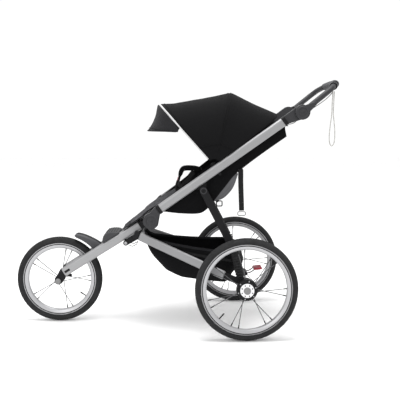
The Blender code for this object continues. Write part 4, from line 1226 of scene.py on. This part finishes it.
def make_recline_strap():
    """The strap that lets the seat back down, with the knob that it hangs from and its ring."""
    route = [(0.169, 0.8405, 0.69), (0.169, 0.84, 0.6925), (0.169, 0.8395, 0.727), (0.169, 0.839, 0.7295)]
    knob = swept(route, lambda t: round_box(0.01, 0.023 if 0.2 < t < 0.8 else 0.019, 0.0035), side=(1, 0, 0))
    new_piece("strap_knob", *knob, "black", "seat_back", "dark_plastic", angle=40)
    route = [(0.168, 0.8397, 0.695), (0.1674, 0.8408, 0.65), (0.1645, 0.8432, 0.59), (0.1612, 0.845, 0.542)]
    strap = swept(smooth_route(route, 40), flat_strap(0.023, 0.0018), side=(0, 1, 0))
    new_piece("recline_webbing", *strap, "strap", "seat_back", "black_fabric", ["recline_strap"])
    loop = [(0.1598, 0.8452 + y, 0.5285 + z) for y, z in round_box(0.034, 0.0165, 0.0045, 4)]
    new_piece("strap_ring", *swept(loop + loop[:1], circle(0.0016, 10)), "black", "seat_back", "dark_plastic")


make_harness()
make_tether_ring()
make_recline_strap()

# ---------------------------------------------------------------- canopy

CROWN = [
    Vector(place) for place in
    ((0.2889, 0.2369), (0.0863, 0.3306), (-0.0596, 0.3028), (-0.1796, 0.2806), (-0.2491, 0.2776))
]                                   # the canopy's side view, from its hinge
CANOPY_BACK = 36.4                  # degrees, as the canopy's other angles are
CANOPY_FRONT = 131.9
MIDDLE_BOW = 75.4
CANOPY_WIDTH = 0.2
CANOPY_BLEND = (48.0, 124.0)
VISOR_FIRST, VISOR_LAST = 131.0, 178.4
VISOR_BLEND = (150.0, 160.0)
TUBE_CLEARANCE = 0.0215             # from the upper tube's axis to the cloth beside it


def crown_reach(angle):
    """How far the canopy's top lies from its hinge: the cloth runs straight from bow to bow."""
    ray = Vector((cos(radians(angle)), sin(radians(angle))))
    for first, second in zip(CROWN, CROWN[1:]):
        if second == CROWN[-1] or second.cross(ray) <= 0:
            normal = (second - first).orthogonal()
            return first.dot(normal) / ray.dot(normal)


def arch_point(hinge, angle, t, reach, width, foot):
    """A point of a cloth arch about a hinge, at t from 0 to 1 over it. It stops `foot` from the hinge."""
    lowest = asin((foot / reach) ** 1.5)
    a = lowest + (pi - 2 * lowest) * t
    out = reach * max(sin(a), 0.0) ** (2 / 3)
    return on_circle((0.0, *hinge), out, radians(angle), width * bent(cos(a), 2 / 3))


def canopy_point(angle, t, lift=0.0):
    near = (-1.6, 0.0, 1.6)
    reach = sum(crown_reach(min(CANOPY_FRONT, max(CANOPY_BACK, angle + d))) for d in near) / len(near) + lift
    return arch_point(CANOPY_HINGE, angle, t, reach, CANOPY_WIDTH + lift, 0.03)


def visor_point(angle, t, lift=0.0):
    reach = min(0.1685, 0.1445 + 0.0245 * ((angle - 157.0) / 24.0) ** 2) + lift
    return arch_point(VISOR_HINGE, angle, t, reach, 0.178 + lift, 0.02)


def blend_ends(maker, angles):
    return [maker(angle, 0.5) for angle in angles]


def hem(name, routes, look):
    """Sewn lines on a sheet, as (route, radius)."""
    lines = new_piece(
        name, *merged(*(swept(route, circle(radius, 8)) for route, radius in routes)), look,
        slot="black_fabric", angle=60
    )
    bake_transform(lines)


def above_tube(point):
    """The point, lifted off the upper tube where the canopy comes down beside it."""
    direction = (UPPER_HIGH - UPPER_LOW).normalized()
    up = Vector((-direction.y, direction.x))
    height = up.dot(point.yz - UPPER_LOW)
    if abs(point.x) < 0.166 or height > TUBE_CLEARANCE:     # clear of the tube, at its side or above it
        return point
    return point + Vector((0, *up)) * (TUBE_CLEARANCE - height)


def make_canopy():
    across, along = 64, 76
    rows = []
    for i in range(along + 1):
        angle = CANOPY_BACK + (CANOPY_FRONT - CANOPY_BACK) * i / along
        row = []
        for k in range(across + 1):
            t = k / across
            point = canopy_point(angle, t)
            bow = min(abs(angle - MIDDLE_BOW), abs(angle - CANOPY_BACK), abs(angle - CANOPY_FRONT))
            slack = min(1.0, bow / 14.0) * sin(pi * t) ** 0.5
            inward = (Vector((0.0, *CANOPY_HINGE)) - point).normalized()
            row.append(above_tube(point + inward * (0.0022 * slack + rippled(point, 0.0016, 16.0) * slack)))
        rows.append(row)
    bodies, ends = ("upper_frame", "canopy_front"), blend_ends(canopy_point, CANOPY_BLEND)
    cloth_sheet(
        "canopy_skin", rows, "canopy", 0.002, -1.0,
        ["canopy_rear", "canopy_middle", "canopy_front"],
    )
    seams = []
    for angle in (MIDDLE_BOW, 77.6, CANOPY_BACK + 1.0, 128.6):
        route = [above_tube(canopy_point(angle, 0.02 + 0.96 * k / 80, 0.0004)) for k in range(81)]
        seams.append((route, 0.0013))
    first, span = CANOPY_BACK + 1.5, CANOPY_FRONT - CANOPY_BACK - 3.0
    for t in (0.045, 0.955):
        seams.append(([canopy_point(first + span * k / 60, t, 0.0004) for k in range(61)], 0.0011))
    hem("canopy_seams", seams, "canopy")


def make_front_bow():
    """The pale bow along the canopy's front edge, wider over the top than at its feet."""
    route = [canopy_point(CANOPY_FRONT - 0.2, 0.004 + 0.992 * k / 120, 0.0012) for k in range(121)]
    across = Vector((0.0, sin(radians(CANOPY_FRONT)), -cos(radians(CANOPY_FRONT))))
    rows = []
    for i, point in enumerate(route):
        along = (route[min(i + 1, 120)] - route[max(i - 1, 0)]).normalized()
        out = along.cross(across).normalized()
        wide = unit((sin(pi * i / 120) - 0.42) / 0.25)
        section = round_box(0.0056 + 0.0036 * wide, 0.005, 0.002, 2)
        rows.append([point - across * a + out * b for a, b in section])
    bow = lofted(rows, closed=True, caps=True)
    new_piece("canopy_front_bow", *bow, "trim", "canopy_front", "bright_metal", ["canopy_bow"])


def make_visor():
    across, along = 60, 30
    rows = []
    for i in range(along + 1):
        angle = VISOR_FIRST + (VISOR_LAST - VISOR_FIRST) * i / along
        row = []
        for k in range(across + 1):
            point = visor_point(angle, k / across)
            inward = (Vector((0.0, *VISOR_HINGE)) - point).normalized()
            row.append(point + inward * (0.001 + rippled(point, 0.0014, 22.0, 3.0)))
        rows.append(row)
    bodies, ends = ("canopy_front", "visor"), blend_ends(visor_point, VISOR_BLEND)
    cloth_sheet(
        "visor_skin", rows, "visor", 0.0022, -1.0,
        ["visor_front", "visor_edge"],
    )
    lines = []
    for angle, radius in ((177.6, 0.0014), (172.6, 0.0009)):
        lines.append(([visor_point(angle, 0.01 + 0.98 * k / 70, 0.0004) for k in range(71)], radius))
    hem("visor_hem", lines, "piping")


make_canopy()
make_front_bow()
make_visor()

# ---------------------------------------------------------------- basket

BASKET_FLOOR_FRONT, BASKET_FLOOR_DROP = 0.2165, 0.0105


def basket_half(y):
    """Half the basket's width, which grows towards its back."""
    return 0.1825 * (0.37 + 0.63 * unit((y - 0.415) / (0.78 - 0.415)))


def along_line(line, z):
    """The y of a line of (y, z) points, from top to bottom, at a height."""
    for (y0, z0), (y1, z1) in zip(line, line[1:]):
        if z >= z1:
            return y0 + (y1 - y0) * (z0 - z) / (z0 - z1)
    return line[-1][0]


BASKET_FRONT = [
    (0.4025, 0.438), (0.399, 0.405), (0.4325, 0.346), (0.501, 0.2605), (0.561, 0.224), (0.635, 0.215),
]
BASKET_BACK = [
    (0.8395, 0.3545), (0.856, 0.3345), (0.854, 0.3025), (0.831, 0.2735), (0.81, 0.244), (0.7965, 0.2118),
    (0.784, 0.205),
]
BASKET_RIM = [
    (0.4025, 0.432), (0.42, 0.408), (0.4443, 0.3955), (0.53, 0.381), (0.62, 0.369), (0.72, 0.36),
    (0.82, 0.356), (0.8395, 0.3545),
]


def basket_loop(depth, inset, count=96):
    """One turn round the tub, at a depth that runs from 0 at the rim to 1 at the bottom."""
    y_front = along_line(BASKET_FRONT, BASKET_RIM[0][1] - (BASKET_RIM[0][1] - BASKET_FLOOR_FRONT) * depth)
    y_back = along_line(BASKET_BACK, BASKET_BACK[0][1] - (BASKET_BACK[0][1] - 0.206) * depth)
    middle, half = (y_front + y_back) / 2, (y_back - y_front) / 2
    row = []
    for k in range(count):
        a = 2 * pi * k / count
        y = middle + half * bent(sin(a), 0.36)
        x = basket_half(y) * (1 - inset) * bent(cos(a), 0.36)
        low = BASKET_FLOOR_FRONT - BASKET_FLOOR_DROP * (y - y_front) / (y_back - y_front)
        high = read_off(BASKET_RIM, y)
        row.append(Vector((x, y, high + (low - high) * depth)))
    return row


def basket_inset(depth):
    return max(0.0, 0.02 + 0.3 * depth ** 2.2 - 0.05 * sin(pi * depth))


def make_basket():
    levels = 30
    rows = []
    for i in range(levels + 1):
        t = i / levels
        row = basket_loop(t, basket_inset(t))
        for point in row:
            fold = rippled(point, 0.003, 11.0, 5.0) * sin(pi * min(1.0, t * 1.1))
            point.x -= fold * (1 if point.x > 0 else -1)
            if abs(point.x) < 0.9 * basket_half(point.y):
                point.y += 0.3 * fold
        rows.append(row)
    bottom = rows[-1]
    centre_y = sum(point.y for point in bottom) / len(bottom)
    for shrink in (0.86, 0.62, 0.34, 0.08):
        row = []
        for point in bottom:
            y = centre_y + (point.y - centre_y) * shrink
            z = point.z - 0.0015 * (1 - shrink) + rippled((point.x * shrink, y, 0.0), 0.002, 18.0)
            row.append(Vector((point.x * shrink, y, max(z, 0.2045))))
        rows.append(row)
    points, faces = lofted(rows, closed=True)
    faces.append(tuple(range(len(points) - len(bottom), len(points))))
    tub = new_piece("basket_tub", points, faces, "basket")
    dress(solid(tub, 0.0018), "basket", "rear_frame", ["basket"], 60)
    rim = basket_loop(0.0, 0.02, 128)
    binding = swept(rim + rim[:1], round_box(0.011, 0.0042, 0.0018), side=(0, 0, 1))
    new_piece("basket_binding", *binding, "piping", "rear_frame", "black_fabric", angle=60)
    straps = []
    for side in (-1, 1):
        line = []
        for i in range(25):
            y = 0.44 + (0.8 - 0.44) * i / 24
            high = read_off(BASKET_RIM, y)
            z = high - 0.02 - 0.016 * (i / 24)
            inset = basket_inset((high - z) / (high - 0.211))
            line.append((side * (basket_half(y) * (1 - inset) + 0.0012), y, z))
        straps.append(swept(line, flat_strap(0.012, 0.002), side=(0, 0, 1)))
    new_piece("basket_straps", *merged(*straps), "strap", "rear_frame", "black_fabric", angle=60)


make_basket()

# ---------------------------------------------------------------- handlebar

BAR_SIDE = [
    (0.184, 1.144, 1.009), (0.184, 1.19, 1.046), (0.1835, 1.218, 1.0685), (0.176, 1.24, 1.086),
    (0.16, 1.252, 1.096), (0.11, 1.272, 1.1095), (0.06, 1.287, 1.1165),
]
BAR_ROUTE = BAR_SIDE + [(0.0, 1.2925, 1.119)] + [(-x, y, z) for x, y, z in reversed(BAR_SIDE)]


BAR_RADIUS = 0.0125
CABLE_RADIUS = 0.0019


def make_handlebar():
    route = smooth_route(BAR_ROUTE, 127)
    bar = swept(route, circle(BAR_RADIUS, 24))
    new_piece("handlebar_tube", *bar, "housing", "handlebar", "dark_plastic", ["handlebar"], 40)
    end = (HANDLE_HINGE[0] + 0.05, HANDLE_HINGE[1] + 0.04)
    outline = [*arc(HANDLE_HINGE, 0.033, 70, 366, 40), *arc(end, BAR_RADIUS, 309, 399, 8)]
    for side, word in ((1, "left"), (-1, "right")):
        x_low, x_high = sorted((side * 0.1898, side * 0.205))
        arm = new_piece(f"handle_arm_{word}", *extruded(outline, x_low, x_high), "housing")
        dress(bevelled(arm, 0.0028, 3), "housing", "handlebar", angle=40)
    grip_route = [point for point in route if abs(point.x) < 0.109]

    def section(t):
        close = min(1.0, 14 * t + 0.55, 14 * (1 - t) + 0.55)
        swell = 0.017 * close + 0.0004 * sin(t * 2 * pi * 3)
        return circle(swell, 28)

    new_piece("foam_sleeve", *swept(grip_route, section), "grip", "handlebar", "grip_foam", ["foam_grip"], 60)
    rings = [swept(ends, circle(0.0158, 28)) for ends in (grip_route[:2], grip_route[-2:])]
    new_piece("grip_rings", *merged(*rings), "black", "handlebar", "dark_plastic")


def make_cables():
    """The brake's cable from the twist sleeve to the handle's hinge, and on into the tube."""
    route = [
        (0.15, 1.256, 1.085), (0.156, 1.2489, 1.069), (0.168, 1.22, 1.042), (0.172, 1.185, 1.017),
        (0.173, 1.152, 0.996), (0.174, 1.133, 0.988),
    ]
    new_piece("brake_cable_bar", *wire(route, CABLE_RADIUS, 48), "trim_grey", "handlebar", "cord")
    route = [(0.181, 1.09, 0.952), (0.183, 1.079, 0.939), (0.185, 1.064, 0.932), (0.1865, 1.048, 0.929)]
    new_piece("brake_cable_tube", *wire(route, CABLE_RADIUS, 24), "trim_grey", "upper_frame", "cord")


PEDAL_FRONT = (0.9162, 0.244)
PEDAL_AXIS = (0.0, 0.879, 0.224)


def make_pedal():
    """The parking brake's ribbed pedal, on two bent wires."""
    rows = []
    for t, w, h in (
        (0.0, 0.06, 0.005), (0.06, 0.068, 0.0086), (0.5, 0.07, 0.01), (0.94, 0.068, 0.0086),
        (1.0, 0.06, 0.005),
    ):
        y, z = PEDAL_FRONT[0] + 0.0402 * t, PEDAL_FRONT[1] + 0.004 * t
        rows.append([(a, y - b * 0.1, z + b) for a, b in round_box(w, h, h * 0.45)])
    pedal = lofted(rows, closed=True, caps=True)
    new_piece("pedal_pad", *pedal, "red", "brake_pedal", "red_plastic", ["brake_pedal"], 40)
    ribs = []
    for y in (0.923, 0.932, 0.941, 0.95):
        z = PEDAL_FRONT[1] + (y - PEDAL_FRONT[0]) * 0.1 + 0.005
        ribs.append(swept([(-0.027, y, z), (0.027, y, z)], circle(0.0011, 8)))
    new_piece("pedal_ribs", *merged(*ribs), "red", "brake_pedal", "red_plastic")
    arms = []
    for side in (-1, 1):
        route = [(side * 0.02, 0.879, 0.224), (side * 0.022, 0.9, 0.228), (side * 0.024, 0.925, 0.2445)]
        arms.append(wire(route, 0.0026, 16))
    arms.append(lathe([(0.0, -0.03), (0.008, -0.03), (0.008, 0.03), (0.0, 0.03)], PEDAL_AXIS, steps=24))
    new_piece("pedal_arms", *merged(*arms), "black", "brake_pedal", "dark_plastic", weld=0.00001)


make_handlebar()
make_cables()
make_pedal()
